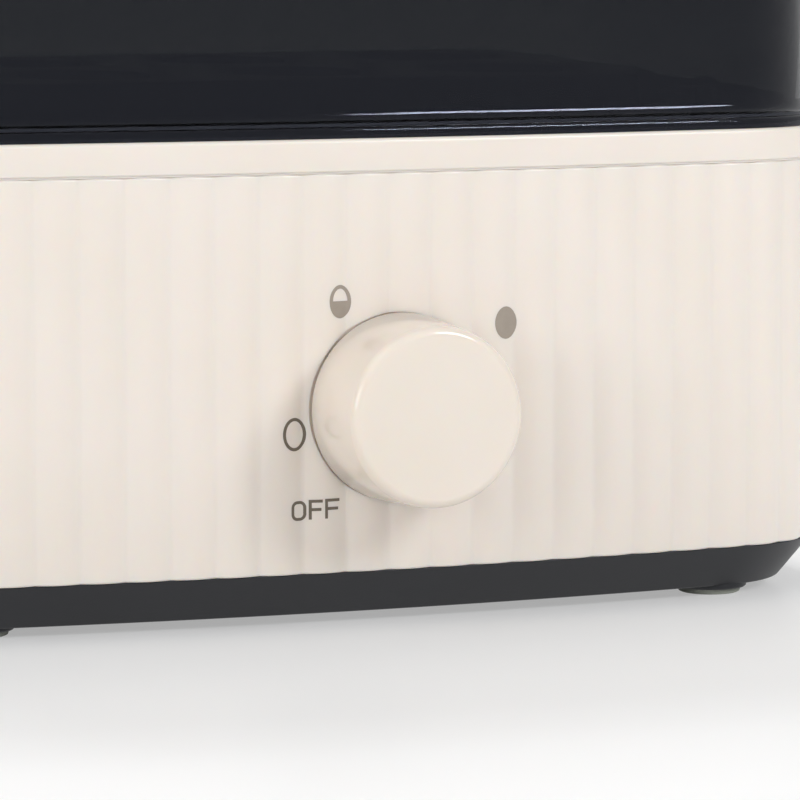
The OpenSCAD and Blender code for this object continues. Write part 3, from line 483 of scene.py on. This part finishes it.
grooveSection = [(control["grooveIn"], -control["groove"]), (control["grooveOut"], -control["groove"]),
                 (control["grooveOut"], cuts["past"]), (control["grooveIn"], cuts["past"])]
seatSide, neckSide = 2 * gland["half"] + gland["seatPlay"], 2 * gland["neckHalf"] + gland["neckPlay"]
shellCutters = [
    moved(lathe("groove", grooveSection, 160), knobPlace),
    alongY(circlePoints(0, 0, control["recess"]), control["x"], control["z"], front - cuts["far"],
           front + control["recessDepth"]),
    alongY(circlePoints(0, 0, control["bore"]), control["x"], control["z"], front - cuts["far"],
           front + cuts["shellDeep"]),
    alongY(roundRect(seatSide, seatSide, gland["corner"] + gland["seatCornerPlay"]), 0, gland["z"],
           back - gland["seatDepth"], back + cuts["far"]),
    alongY(roundRect(neckSide, neckSide, gland["cutCorner"], 2), 0, gland["z"], back - cuts["shellDeep"],
           back + cuts["far"]),
]
addPiece("flutedShell", loft("flutedShell", shellRings(), closed=True), creamAbs, "housing",
         ["fluted_shell"], sharp=24, cutters=shellCutters)
print("shell made")

# Rim frame: smooth band with a shadow gap under it, a land, a ledge for the pan and a spigot inside the shell
rim = {"top": 92.9, "gap": 0.4, "gapDepth": 0.45, "edge": 0.8, "low": 0.25, "land": 5, "landEdge": 0.3,
       "ledge": 91.2, "inner": 10.6, "shelf": 88.7, "spigotOut": 2.85, "spigotIn": 4.65, "spigotEnd": 81.9}
rimSection = (
    bend(rim["low"], housing["top"] + rim["gap"] + rim["low"], rim["low"], 270, 180, 3)
    + bend(rim["edge"], rim["top"] - rim["edge"], rim["edge"], 180, 90, 8)
    + bend(rim["land"] - rim["landEdge"], rim["top"] - rim["landEdge"], rim["landEdge"], 90, 0, 3)
    + [(rim["land"], rim["ledge"]), (rim["inner"], rim["ledge"]), (rim["inner"], rim["shelf"]),
       (rim["spigotIn"], rim["shelf"]), (rim["spigotIn"], rim["spigotEnd"]),
       (rim["spigotOut"], rim["spigotEnd"]), (rim["spigotOut"], housing["top"]),
       (rim["gapDepth"], housing["top"]), (rim["gapDepth"], housing["top"] + rim["gap"])]
)
frameBoss = {"x": 50, "inset": 7, "r": 3.4, "pilot": 1.5, "low": 75.7, "sink": 0.5}


def depthAt(x, inset):
    r = housing["bow"] - inset
    return bowY + math.sqrt(r * r - x * x)


def frameBosses():
    top = rim["shelf"] + frameBoss["sink"]
    section = [(frameBoss["pilot"], frameBoss["low"]), (frameBoss["r"], frameBoss["low"]),
               (frameBoss["r"], top), (frameBoss["pilot"], top)]
    return inCorners("frameBosses", lambda: lathe("boss", section, 32), frameBoss["x"],
                     depthAt(frameBoss["x"], frameBoss["inset"]))


addPiece("rimFrame", together("rimFrame", [around("rimFrame", rimSection), frameBosses()]), creamAbs,
         "housing", ["top_frame"], sharp=40)

# Water pan: pressed from 0.6 mm sheet, soft bends, flat lip on the seal
pan = {"top": 92.6, "sheet": 0.6, "depth": 16.3, "wallIn": 11.2, "lipIn": 5.2, "lipBend": 1.2,
       "floorBend": 6.2}
panUnder = pan["top"] - pan["depth"] - pan["sheet"]
panOuter = pan["floorBend"] + pan["sheet"]
panCx, panCz = pan["wallIn"] + panOuter, panUnder + panOuter
lipCx, lipCz = pan["wallIn"] - pan["lipBend"], pan["top"] - pan["sheet"] - pan["lipBend"]
panSection = (
    bend(panCx, panCz, panOuter, 270, 180, 10) + bend(lipCx, lipCz, pan["lipBend"], 0, 90, 5)
    + [(pan["lipIn"], pan["top"] - pan["sheet"]), (pan["lipIn"], pan["top"])]
    + bend(lipCx, lipCz, pan["lipBend"] + pan["sheet"], 90, 0, 6)
    + bend(panCx, panCz, pan["floorBend"], 180, 270, 10)
)
addPiece("waterPan", around("waterPan", panSection, closed=False), panSteel, "housing", ["heating_pan"],
         sharp=40)
print("rim and pan made")

# Base: dish that tapers in, with vent slots, screw wells and a low boss over each foot
base = {"bottom": 2, "taper": 7.4, "edgeIn": 0.6, "toe": 1.6, "toeIn": 0.9, "toeRound": 1.1, "toeRise": 1.2,
        "lipIn": 0.2, "lipEdge": 0.25, "floor": 4.2, "floorIn": 2.6, "rebate": 1, "spigotOut": 2.85,
        "spigotIn": 4.65, "spigotTop": 15.3, "postX": 62, "postInset": 13, "postTop": 11.8, "well": 4.6,
        "wellHead": 3.3, "wellRoof": 9.3, "wellSink": 0.5, "screwHole": 1.75, "footX": 76, "footInset": 19.5,
        "bossR": 7.4, "bossLow": 1.1, "bossEdge": 0.3, "bossFlare": 0.1, "bossSink": 0.4, "stem": 2.45,
        "slotX": 26, "slotPitch": 8, "slotLength": 26, "slotWidth": 3, "slotFlat": 0.01}
# Foot, as (radius, height): a pad with a shallow hollow in its sole, a neck and the head of its stem
footSection = [(0, 0.15), (3.4, 0.15), (4.0, 0), (5.7, 0), (6.05, 0.15), (6.2, 0.5), (6.2, 1.05), (2.4, 1.05),
               (2.4, 4.2), (3.2, 4.2), (2.6, 5.6), (0, 5.6)]
postY = depthAt(base["postX"], base["postInset"])
footY = back - base["footInset"]
slope = math.degrees(math.atan2(housing["bottom"] - base["bottom"] - base["toeRise"],
                                base["taper"] - base["lipIn"] - base["edgeIn"]))
baseSection = (
    [(base["taper"] + base["toe"], base["bottom"])]
    + bend(base["taper"] + base["toeIn"], base["bottom"] + base["toeRound"], base["toeRound"],
           270, 180 + slope, 6)
    + [(base["edgeIn"] + base["lipIn"], housing["bottom"] - base["lipEdge"]),
       (base["edgeIn"] + base["lipEdge"], housing["bottom"]),
       (base["spigotOut"], housing["bottom"]), (base["spigotOut"], base["spigotTop"]),
       (base["spigotIn"], base["spigotTop"]), (base["spigotIn"], housing["bottom"] - base["rebate"]),
       (base["taper"] + base["floorIn"], base["floor"])]
)


def footBoss():
    r, low, high = base["bossR"], base["bossLow"], base["bottom"] + base["bossSink"]
    section = [(0, low), (r - base["bossEdge"], low), (r, low + base["bossEdge"]),
               (r + base["bossFlare"], high), (0, high)]
    return lathe("boss", section, 64)


def slotCutter():
    meshes = []
    for side in (1, -1):
        for i in fiveInRow:
            points = roundRect(base["slotLength"], base["slotWidth"],
                               base["slotWidth"] / 2 - base["slotFlat"], 8, side * base["slotX"],
                               i * base["slotPitch"])
            meshes.append(prism("slot", points, 0, base["floor"] + cuts["past"]))
    return together("slots", meshes)


def floorBores(r, x, y):
    points = circlePoints(0, 0, r, 48)
    return inCorners("bores", lambda: prism("bore", points, 0, base["floor"] + cuts["past"]), x, y)


def wellTubes():
    low = base["floor"] - base["wellSink"]
    section = [(base["wellHead"], low), (base["well"], low),
               (base["well"], base["postTop"]), (base["screwHole"], base["postTop"]),
               (base["screwHole"], base["wellRoof"]), (base["wellHead"], base["wellRoof"])]
    return inCorners("wells", lambda: lathe("well", section, 48), base["postX"], postY)


addPiece(
    "baseDish", around("baseDish", baseSection, closed=False), charcoalPp, "housing", ["base_plate"],
    sharp=32, cutters=[
        slotCutter(), floorBores(base["wellHead"], base["postX"], postY),
        floorBores(base["stem"], base["footX"], footY)])
addPiece("baseWells", wellTubes(), charcoalPp, "housing", [])
addPiece("footBosses", inCorners("footBosses", footBoss, base["footX"], footY), charcoalPp, "housing", [],
         cutters=[floorBores(base["stem"], base["footX"], footY)])
addPiece("rubberFeet", inCorners("rubberFeet", lambda: lathe("foot", footSection, 64), base["footX"], footY),
         footRubber, "housing", ["rubber_feet"])
print("base made")

# Knob: turned cap, hollow behind, with a socket for its hub; the dish gives its face's depth at each radius,
# and the skirt how far its back edge draws in at each height
knob = {"r": 18, "gap": 0.6, "reach": 20.3, "faceR": 15.2, "edge": 1.9, "draft": 4, "wall": 2.2,
        "underR": 14.2, "socketIn": 7.55, "socketOut": 9.1, "socketLength": 6,
        "dish": ((0, 0.12), (4, 0.115), (9, 0.06), (12.5, 0.01)), "skirt": ((0, 0.35), (0.1, 0.1), (0.35, 0))}


def knobSection():
    under = knob["reach"] - knob["wall"]
    outer = [(r, knob["reach"] - dip) for r, dip in knob["dish"]]
    outer += bend(knob["faceR"], knob["reach"] - knob["edge"], knob["edge"], 90, knob["draft"], 14)
    outer += [(knob["r"] - drawn, knob["gap"] + up) for drawn, up in knob["skirt"]]
    return outer + [(knob["r"] - knob["wall"], knob["gap"]), (knob["underR"], under),
                    (knob["socketOut"], under), (knob["socketOut"], under - knob["socketLength"]),
                    (knob["socketIn"], under - knob["socketLength"]), (knob["socketIn"], under), (0, under)]


addPiece("knobCap", moved(lathe("knobCap", knobSection(), 160), knobPlace), knobAbs, "knob", ["knob_cap"],
         sharp=36)


# Print: places from the body's middle and the worktop, half sizes of the eggs, widths of the lines, the
# ink's half thickness, and the letters' places and widths
marks = {"soft": (-18.96, 37.5, 2.38, 3.15), "medium": (-9.8, 62.3, 2.22, 3.15),
         "hard": (24.1, 57.15, 2.36, 3.1), "fillUp": 0.1, "fillIn": (0.1, 0.2), "line": 0.6,
         "ink": 0.03, "strip": 0.5}
letters = {"x": -14.9, "z": 23.1, "high": 3.75, "stroke": 0.56, "round": 1.25, "bar": 0.43, "barLength": 0.9,
           "o": (-3.2, -0.15, 3.05), "f": ((0.1, 0, 2.65), (3.4, 0.1, 3.0))}


# Print on the ribbed front: a flat outline is cut into narrow strips, laid on the ribs and made ink thick
def printMark(name, loops, material):
    flat = flatMesh(name, loops)
    work = bmesh.new()
    work.from_mesh(flat)
    bpy.data.meshes.remove(flat)
    xs = [v.co.x for v in work.verts]
    cut = math.floor(min(xs) / marks["strip"]) * marks["strip"]
    while cut < max(xs):
        bmesh.ops.bisect_plane(work, geom=work.verts[:] + work.edges[:] + work.faces[:], plane_co=(cut, 0, 0),
                               plane_no=(1, 0, 0))
        cut += marks["strip"]
    result = bmesh.ops.extrude_face_region(work, geom=work.faces[:])
    backs = {v for v in result["geom"] if isinstance(v, bmesh.types.BMVert)}
    for v in work.verts:
        x, z = v.co.x, v.co.y
        v.co = (x, frontY(x) + (marks["ink"] if v in backs else -marks["ink"]), z)
    addPiece(name, finishMesh(work, name), material, "housing", [], sharp=50)


def egg(cx, cz, halfW, halfH, steps=72, end=360):
    points = []
    for i in range(steps + (0 if end == 360 else 1)):
        a = math.radians(end * i / steps)
        points.append((cx + halfW * math.cos(a), cz + halfH * math.sin(a)))
    return points


def softEgg():
    x, z, halfW, halfH = marks["soft"]
    return [egg(x, z, halfW, halfH), egg(x, z, halfW - marks["line"], halfH - marks["line"])]


def mediumEgg():
    x, z, halfW, halfH = marks["medium"]
    inW, inH = marks["fillIn"]
    empty = egg(x, z + marks["fillUp"], halfW - marks["line"] - inW, halfH - marks["line"] - inH, 36, 180)
    return [egg(x, z, halfW, halfH), empty]


def letterF(cx, cz, w, h, t):
    l, b, bar, out = cx - w / 2, cz - h / 2, h * letters["bar"], w * letters["barLength"]
    return [(l, b), (l + t, b), (l + t, b + bar), (l + out, b + bar), (l + out, b + bar + t),
            (l + t, b + bar + t), (l + t, b + h - t), (l + w, b + h - t), (l + w, b + h), (l, b + h)]


def offLetters():
    x, z, high, stroke = letters["x"], letters["z"], letters["high"], letters["stroke"]
    right, up, wide = letters["o"]
    loops = [roundRect(wide - 2 * thin, high - 2 * thin, letters["round"] - thin, 8, x + right, z + up)
             for thin in (0, stroke)]
    return loops + [letterF(x + right, z + up, wide, high, stroke) for right, up, wide in letters["f"]]


printMark("softMark", softEgg(), padInkDark)
printMark("mediumMark", mediumEgg(), padInk)
printMark("hardMark", [egg(*marks["hard"])], padInk)
printMark("offLettering", offLetters(), padInkDark)
print("knob and print made")

addPiece("cordGland", moved(loft("cordGland", glandRings(), closed=True),
                            shift(0, back + gland["reach"], gland["z"]) @ frontwards),
         glandRubber, "housing", ["cord_gland"])

# Lid: outer lip, step, tall wall and rounded crown in one even wall of smoked plastic, with ten steam vents
lid = {"rim": 92.9, "rimEdge": 0.15, "height": 62, "wall": 2, "lipIn": 0.9, "lipH": 2.2, "lipEdge": 0.9,
       "wallIn": 3.4, "step": 2.96, "foot": 2.4, "draft": 0.5, "edge": 12}
# The crown rises as a parabola over rings that shrink from full size to the least scale
crown = {"rise": 1.4, "least": 0.8, "span": 0.2, "scales": (0.8, 0.84, 0.88, 0.92, 0.96)}
shoulder = lid["rim"] + lid["height"]
edgeIn = lid["wallIn"] + lid["draft"] + lid["edge"]
edgeZ = shoulder - lid["edge"]
footZ = lid["rim"] + lid["lipH"] + lid["step"]
lidOuter = (
    [(lid["lipIn"] + lid["rimEdge"], lid["rim"]), (lid["lipIn"], lid["rim"] + lid["rimEdge"])]
    + bend(lid["lipIn"] + lid["lipEdge"], lid["rim"] + lid["lipH"] - lid["lipEdge"], lid["lipEdge"],
           180, 100, 8)
    + bend(lid["wallIn"] - lid["foot"], footZ, lid["foot"], 285, 360, 8)
    + bend(edgeIn, edgeZ, lid["edge"], 180, 90, 16)
)
lidInner = (bend(edgeIn, edgeZ, lid["edge"] - lid["wall"], 90, 180, 14)
            + [(lid["wallIn"] + lid["wall"], lid["rim"])])


def crownLevel(scale, z):
    rise = crown["rise"] * (1 - ((scale - crown["least"]) / crown["span"]) ** 2)
    return level(outline(edgeIn), z + rise, scale)


lidRings = (
    [crownLevel(s, shoulder - lid["wall"]) for s in crown["scales"]]
    + [level(outline(inset), z) for inset, z in lidInner + lidOuter]
    + [crownLevel(s, shoulder) for s in reversed(crown["scales"])]
)
lidRoof = shoulder + crown["rise"]
handle = {"length": 84, "height": 20, "width": 17, "gap": 12, "leg": 14, "shoulder": 9, "inside": 5,
          "edge": 3.2, "flat": 0.2, "legSteps": 4, "barSteps": 12, "screwX": 34, "screwHole": 1.75}
steam = {"x": 56, "pitch": 7, "r": 1.1}
roofHoles = [(s * handle["screwX"], 0, handle["screwHole"]) for s in (1, -1)]
roofHoles += [(s * steam["x"], i * steam["pitch"], steam["r"]) for s in (1, -1) for i in fiveInRow]
roofCutter = together("roofCutter", [
    prism("bore", circlePoints(x, y, r, 48), lidRoof - 2 * lid["wall"], lidRoof + cuts["far"])
    for x, y, r in roofHoles])
addPiece("smokedLid", loft("smokedLid", lidRings), smokedLid, "lid", ["lid_shell"],
         sharp=40, cutters=[roofCutter])


# Handle: a rounded bar swept over an arch, foot to foot
def handleRings():
    half, h, leg, gap = handle["length"] / 2, handle["height"], handle["leg"], handle["gap"]
    ro, ri, legSteps, barSteps = handle["shoulder"], handle["inside"], handle["legSteps"], handle["barSteps"]
    outer, inner = [], []
    for k in range(legSteps):
        outer.append((-half, (h - ro) * k / legSteps))
        inner.append((-half + leg, (gap - ri) * k / legSteps))
    outer += bend(-half + ro, h - ro, ro, 180, 90, 12)
    inner += bend(-half + leg + ri, gap - ri, ri, 180, 90, 12)
    legPoints = len(outer)
    for k in range(1, barSteps):
        outer.append((-half + ro + (half * 2 - ro * 2) * k / barSteps, h))
        inner.append((-half + leg + ri + (half - leg - ri) * 2 * k / barSteps, gap))
    outer += [(-x, z) for x, z in reversed(outer[:legPoints])]
    inner += [(-x, z) for x, z in reversed(inner[:legPoints])]
    rings = []
    for (ax, az), (bx, bz) in zip(outer, inner):
        thick = math.hypot(ax - bx, az - bz)
        ux, uz = (ax - bx) / thick, (az - bz) / thick
        ring = []
        corner = min(handle["edge"], thick / 2 - handle["flat"])
        for across, out in roundRect(handle["width"], thick, corner, 6):
            mid = out + thick / 2
            ring.append((bx + ux * mid, across, lidRoof + bz + uz * mid))
        rings.append(ring)
    return rings


addPiece("lidHandle", loft("lidHandle", handleRings()), knobAbs, "lid", ["lid_handle"],
         sharp=45)


# Screws; the head's profile and its cross recess are shares of the head's radius and height
handleScrew = {"r": 1.45, "length": 12, "headR": 3.2, "headH": 2.2}
baseScrew = {"r": 1.45, "length": 16.5, "headR": 2.9, "headH": 2.2}
screwHead = {"profile": ((0, 1), (0.55, 1), (0.85, 0.82), (1, 0.45)), "arm": 1.1, "slit": 0.2, "deep": 0.6}
washer = {"t": 1, "r": 5, "hole": 1.75, "edge": 0.2}


# Pan-head screw, its point along +Z; its cross recess is cut later with crossCutter
def screwMesh(size):
    r, length, headR, headH = size["r"], size["length"], size["headR"], size["headH"]
    section = [(headR * across, -headH * up) for across, up in screwHead["profile"]]
    return lathe("screw", section + [(headR, 0), (r, 0), (r, length), (0, length)], 40)


def crossCutter(size):
    arm, slit, top = size["headR"] * screwHead["arm"] / 2, size["headR"] * screwHead["slit"], -size["headH"]
    points = [(arm, slit), (slit, slit), (slit, arm), (-slit, arm), (-slit, slit), (-arm, slit),
              (-arm, -slit), (-slit, -slit), (-slit, -arm), (slit, -arm), (slit, -slit), (arm, -slit)]
    return prism("cross", points, top - cuts["past"], top + size["headH"] * screwHead["deep"])


def screws(name, places, size, body, replaced, material):
    meshes = [moved(screwMesh(size), shift(*p)) for p in places]
    crosses = together("crosses", [moved(crossCutter(size), shift(*p)) for p in places])
    addPiece(name, together(name, meshes), material, body, replaced, sharp=30, cutters=[crosses])


handleSeat = lidRoof - lid["wall"] - washer["t"]
screws("handleScrews", [(s * handle["screwX"], 0, handleSeat) for s in (1, -1)], handleScrew, "lid",
       ["handle_screws"], panSteel)
screws("baseScrews", [(sx * base["postX"], sy * postY, base["wellRoof"]) for sx in (1, -1) for sy in (1, -1)],
       baseScrew, "housing", ["base_screws"], plainSteel)
washerLoops = [[circlePoints(s * handle["screwX"], 0, washer["r"], 48),
                circlePoints(s * handle["screwX"], 0, washer["hole"], 32)] for s in (1, -1)]
addPiece("handleWashers", together("handleWashers", [
    plate("washer", loops, handleSeat, handleSeat + washer["t"], washer["edge"]) for loops in washerLoops]),
    footRubber, "lid", ["handle_washers"])
print("lid made")

# Egg tray: edge on the pan's lip, raised deck with six collared seats, two lifting lugs
tray = {"edgeIn": 6.4, "t": 1.8, "low": 92.6, "rimEdge": 0.4, "deckTop": 102.8, "deckW": 140, "deckD": 96,
        "deckR": 12, "deckEdge": 0.6, "wallEdge": 0.1, "wallLow": 0.6, "wallTop": 0.7, "pitch": 44,
        "seatR": 17.5, "seatShare": 0.6, "collar": 7, "collarDrop": 1.5, "collarEdge": 1.0,
        "collarEdgeIn": 0.9, "collarTip": 0.4, "guideIn": 12.8, "guideH": 4, "guideEdge": 0.3,
        "guideSink": 0.5, "lugX": 79.5, "lugLength": 32, "lugT": 3, "lugH": 5.4, "lugR": 4, "lugEdge": 0.7,
        "lugSink": 0.6, "pegX": 80, "pegY": 40, "pegR": 2.2, "pegH": 7, "pegEdge": 0.5, "pegSink": 0.4,
        "drain": 2.5}


def deckLoop(inset):
    return roundRect(tray["deckW"] - 2 * inset, tray["deckD"] - 2 * inset, tray["deckR"] - inset, 12)


seatCentres = [(i * tray["pitch"], s * tray["pitch"] / 2) for i in (-1, 0, 1) for s in (-1, 1)]


def collar():
    r, t, drop, top, tip = tray["seatR"], tray["t"], tray["collarDrop"], tray["deckTop"], tray["collarTip"]
    low, edge = top - tray["collar"], tray["collarEdge"]
    section = ([(r - drop, low + tip)] + bend(r + tray["collarEdgeIn"], top - edge, edge, 180, 90, 5)
               + [(r + t, top), (r + t, top - t), (r - drop + t, low), (r - drop + tip, low)])
    return lathe("collar", section, 96)


def peg():
    low = tray["low"] + tray["t"] - tray["pegSink"]
    top = tray["low"] + tray["t"] + tray["pegH"]
    edge = tray["pegEdge"]
    section = ([(0, low), (tray["pegR"], low)] + bend(tray["pegR"] - edge, top - edge, edge, 0, 90, 4)
               + [(0, top)])
    return lathe("peg", section, 32)


# Lifting lug: the upper half of a rounded plate, turned upright
def lug():
    sink, half = tray["lugSink"], tray["lugT"] / 2
    loop = roundRect(tray["lugLength"], 2 * (tray["lugH"] + sink), tray["lugR"], 8)
    whole = plate("lug", [loop], -half, half, tray["lugEdge"])
    work = bmesh.new()
    work.from_mesh(whole)
    bpy.data.meshes.remove(whole)
    bmesh.ops.bisect_plane(work, geom=work.verts[:] + work.edges[:] + work.faces[:], plane_co=(0, sink, 0),
                           plane_no=(0, -1, 0), clear_outer=True)
    bmesh.ops.holes_fill(work, edges=[e for e in work.edges if e.is_boundary])
    upright = Matrix(((0, 0, 1, 0), (1, 0, 0, 0), (0, 1, 0, 0), (0, 0, 0, 1)))
    return moved(finishMesh(work, "lug"), upright)


def trayMesh():
    low, t, deckTop, guideIn = tray["low"], tray["t"], tray["deckTop"], tray["guideIn"]
    holes = [circlePoints(x, y, tray["seatR"] + t * tray["seatShare"], 96) for x, y in seatCentres]
    holes += [circlePoints(s * tray["pitch"] / 2, 0, tray["drain"], 48) for s in (1, -1)]
    parts = [
        plate("edge", [outline(tray["edgeIn"]), deckLoop(t)], low, low + t, tray["rimEdge"]),
        plate("deck", [deckLoop(0)] + holes, deckTop - t, deckTop, tray["deckEdge"]),
        plate("wall", [deckLoop(0), deckLoop(t)], low + tray["wallLow"], deckTop - tray["wallTop"],
              tray["wallEdge"]),
        plate("guide", [outline(guideIn), outline(guideIn + t)], low - tray["guideH"],
              low + tray["guideSink"], tray["guideEdge"]),
    ]
    parts += [moved(collar(), shift(x, y, 0)) for x, y in seatCentres]
    parts.append(inCorners("pegs", peg, tray["pegX"], tray["pegY"]))
    parts += [moved(lug(), shift(side * tray["lugX"], 0, low + t - tray["lugSink"])) for side in (1, -1)]
    return together("eggTray", parts)


addPiece("eggTray", trayMesh(), trayPp, "tray", ["egg_tray"], sharp=35)
print("tray made")

# Inner pieces keep their CAD meshes and get their own finishes: dull grey cast metal, a dark annealed sheath,
# bright yellow brass, glossy pale ceramic, and plastics and silicone sleeves with a soft sheen
slotLooks = {
    "silicone": footRubber, "zinc_plated_steel": plainSteel, "stainless_steel": panSteel,
    "cast_aluminium": bareMetal("castAluminium", "#bdbdbd", 0.5, 1.5),
    "element_sheath": bareMetal("annealedSheath", "#4c4845", 0.45, 1.0),
    "brass": bareMetal("plainBrass", "#c9a557", 0.32, 0.8),
    "ceramic": moulded("glazedCeramic", "#e9e4da", "#e2ddd2", 0.2, 1.5, 1.0, 0.004),
    "phenolic": moulded("brownPhenolic", "#6d5540", "#664f3b", 0.45, 1.6, 0.6, 0.01),
    "nylon_white": moulded("naturalNylon", "#e8e6df", "#e2e0d8", 0.4, 1.53, 0.6, 0.008),
    "black_plastic": moulded("blackNylon", "#1d1e20", "#1a1b1d", 0.4, 1.53, 0.6, 0.008),
    "lead_live": moulded("brownSiliconeSleeve", "#5b3a24", "#553622", 0.5, 1.42, 0.5, 0.006),
    "lead_switched": moulded("blackSiliconeSleeve", "#1e1e1f", "#1b1b1c", 0.5, 1.42, 0.5, 0.006),
    "lead_neutral": moulded("blueSiliconeSleeve", "#2c4f92", "#29498a", 0.5, 1.42, 0.5, 0.006),
    "lead_earth": moulded("greenSiliconeSleeve", "#7fa03a", "#789737", 0.5, 1.42, 0.5, 0.006),
    "cream_gloss_plastic": creamAbs, "dark_matte_plastic": charcoalPp, "tray_plastic": trayPp,
    "foot_rubber": footRubber, "smoked_clear_plastic": smokedLid,
}
for entry in frame["record"]["subparts"]:
    node = nodes[entry["node"]]
    if not node.hide_render:
        node.data.materials.clear()
        node.data.materials.append(slotLooks[entry["material_slot"]])
        for polygon in node.data.polygons:
            polygon.use_smooth = True
print("inner pieces dressed")

# Studio: a wide pale sheet in a grey room, two softboxes and a high panel in front, a softbox and a small
# lamp behind; half and patch are in metres
studio = {"sheet": "#ececec", "ior": 1.45, "roughness": 0.3, "wander": 0.01, "patch": 0.5, "glow": 0.38,
          "room": 0.53, "half": 6.0, "lampTint": (0.97, 0.985, 1)}


# Shows pale to the eye and to gloss and glass, and still takes the light and shadow
def sheetMaterial():
    material, tree, place = startMaterial("whiteAcrylicSheet")
    slow = addNode(tree, "TexNoise", {"Scale": 1 / studio["patch"], "Detail": 1}, {"Vector": place})
    rough = addNode(tree, "MapRange", {"To Min": studio["roughness"] - studio["wander"],
                                       "To Max": studio["roughness"] + studio["wander"]},
                    {"Value": slow.outputs["Fac"]})
    lit = addNode(tree, "BsdfPrincipled", {"Base Color": linear(studio["sheet"]), "IOR": studio["ior"]},
                  {"Roughness": rough.outputs["Result"]})
    white = addNode(tree, "Emission", {"Color": (1, 1, 1, 1), "Strength": 1.0})
    path = addNode(tree, "LightPath").outputs
    seen = addNode(tree, "Math", {"operation": "MAXIMUM"},
                   {0: path["Is Camera Ray"], 1: path["Is Glossy Ray"]})
    seen = addNode(tree, "Math", {"operation": "MAXIMUM"},
                   {0: seen.outputs[0], 1: path["Is Transmission Ray"]})
    share = addNode(tree, "Math", {"operation": "MULTIPLY", 1: studio["glow"]}, {0: seen.outputs[0]})
    mix = {0: share.outputs[0], 1: lit.outputs[0], 2: white.outputs[0]}
    endMaterial(tree, addNode(tree, "MixShader", links=mix))
    return material


def floorPiece():
    mesh = bpy.data.meshes.new("studioFloor")
    s = studio["half"]
    mesh.from_pydata([(-s, -s, 0), (s, -s, 0), (s, s, 0), (-s, s, 0)], [], [(0, 1, 2, 3)])
    mesh.materials.append(sheetMaterial())
    floor = bpy.data.objects.new("studioFloor", mesh)
    bpy.context.scene.collection.objects.link(floor)


def lamp(name, azimuth, elevation, away, size, power):
    a, e = math.radians(azimuth), math.radians(elevation)
    place = Vector((math.cos(e) * math.sin(a), -math.cos(e) * math.cos(a), math.sin(e))) * away
    data = bpy.data.lights.new(name, "AREA")
    data.shape = "RECTANGLE"
    data.size, data.size_y = size
    data.energy = power
    data.color = studio["lampTint"]
    holder = bpy.data.objects.new(name, data)
    holder.location = place
    holder.rotation_euler = place.to_track_quat("Z", "Y").to_euler()
    bpy.context.scene.collection.objects.link(holder)


floorPiece()
world = bpy.data.worlds.new("studioRoom")
world.use_nodes = True
world.node_tree.nodes["Background"].inputs["Color"].default_value = (studio["room"],) * 3 + (1,)
bpy.context.scene.world = world
# Degrees round the object from its front to the right, degrees up, distance and size in metres, watts
lamp("rightSoftbox", 33, 31, 1.6, (0.5, 0.38), 8.2)
lamp("leftSoftbox", -64, 14, 1.6, (1.0, 0.5), 5.4)
lamp("leftPanel", -62, 48, 2.0, (1.8, 1.4), 5.5)
lamp("backSoftbox", 179, 50, 2.2, (0.7, 0.45), 15)
lamp("backLamp", 172, 58, 1.6, (0.25, 0.25), 7)

# Camera: the photograph's view, from the left of the front and a little above; its place is in mm
view = {"place": (-324.5, -898.65, 143.0), "yaw": 21.37, "pitch": 6.35, "lens": 214.335, "sensor": 36,
        "farM": 20}
cameraData = bpy.data.cameras.new("photoView")
cameraData.lens = view["lens"]
cameraData.sensor_width = view["sensor"]
cameraData.clip_end = view["farM"]
camera = bpy.data.objects.new("photoView", cameraData)
camera.location = Vector(view["place"]) * mm
yaw, pitch = math.radians(view["yaw"]), math.radians(view["pitch"])
ahead = Vector((math.sin(yaw) * math.cos(pitch), math.cos(yaw) * math.cos(pitch), -math.sin(pitch)))
camera.rotation_euler = ahead.to_track_quat("-Z", "Y").to_euler()
bpy.context.scene.collection.objects.link(camera)
bpy.context.scene.camera = camera
bpy.context.scene.view_settings.view_transform = "Standard"
print("studio made")
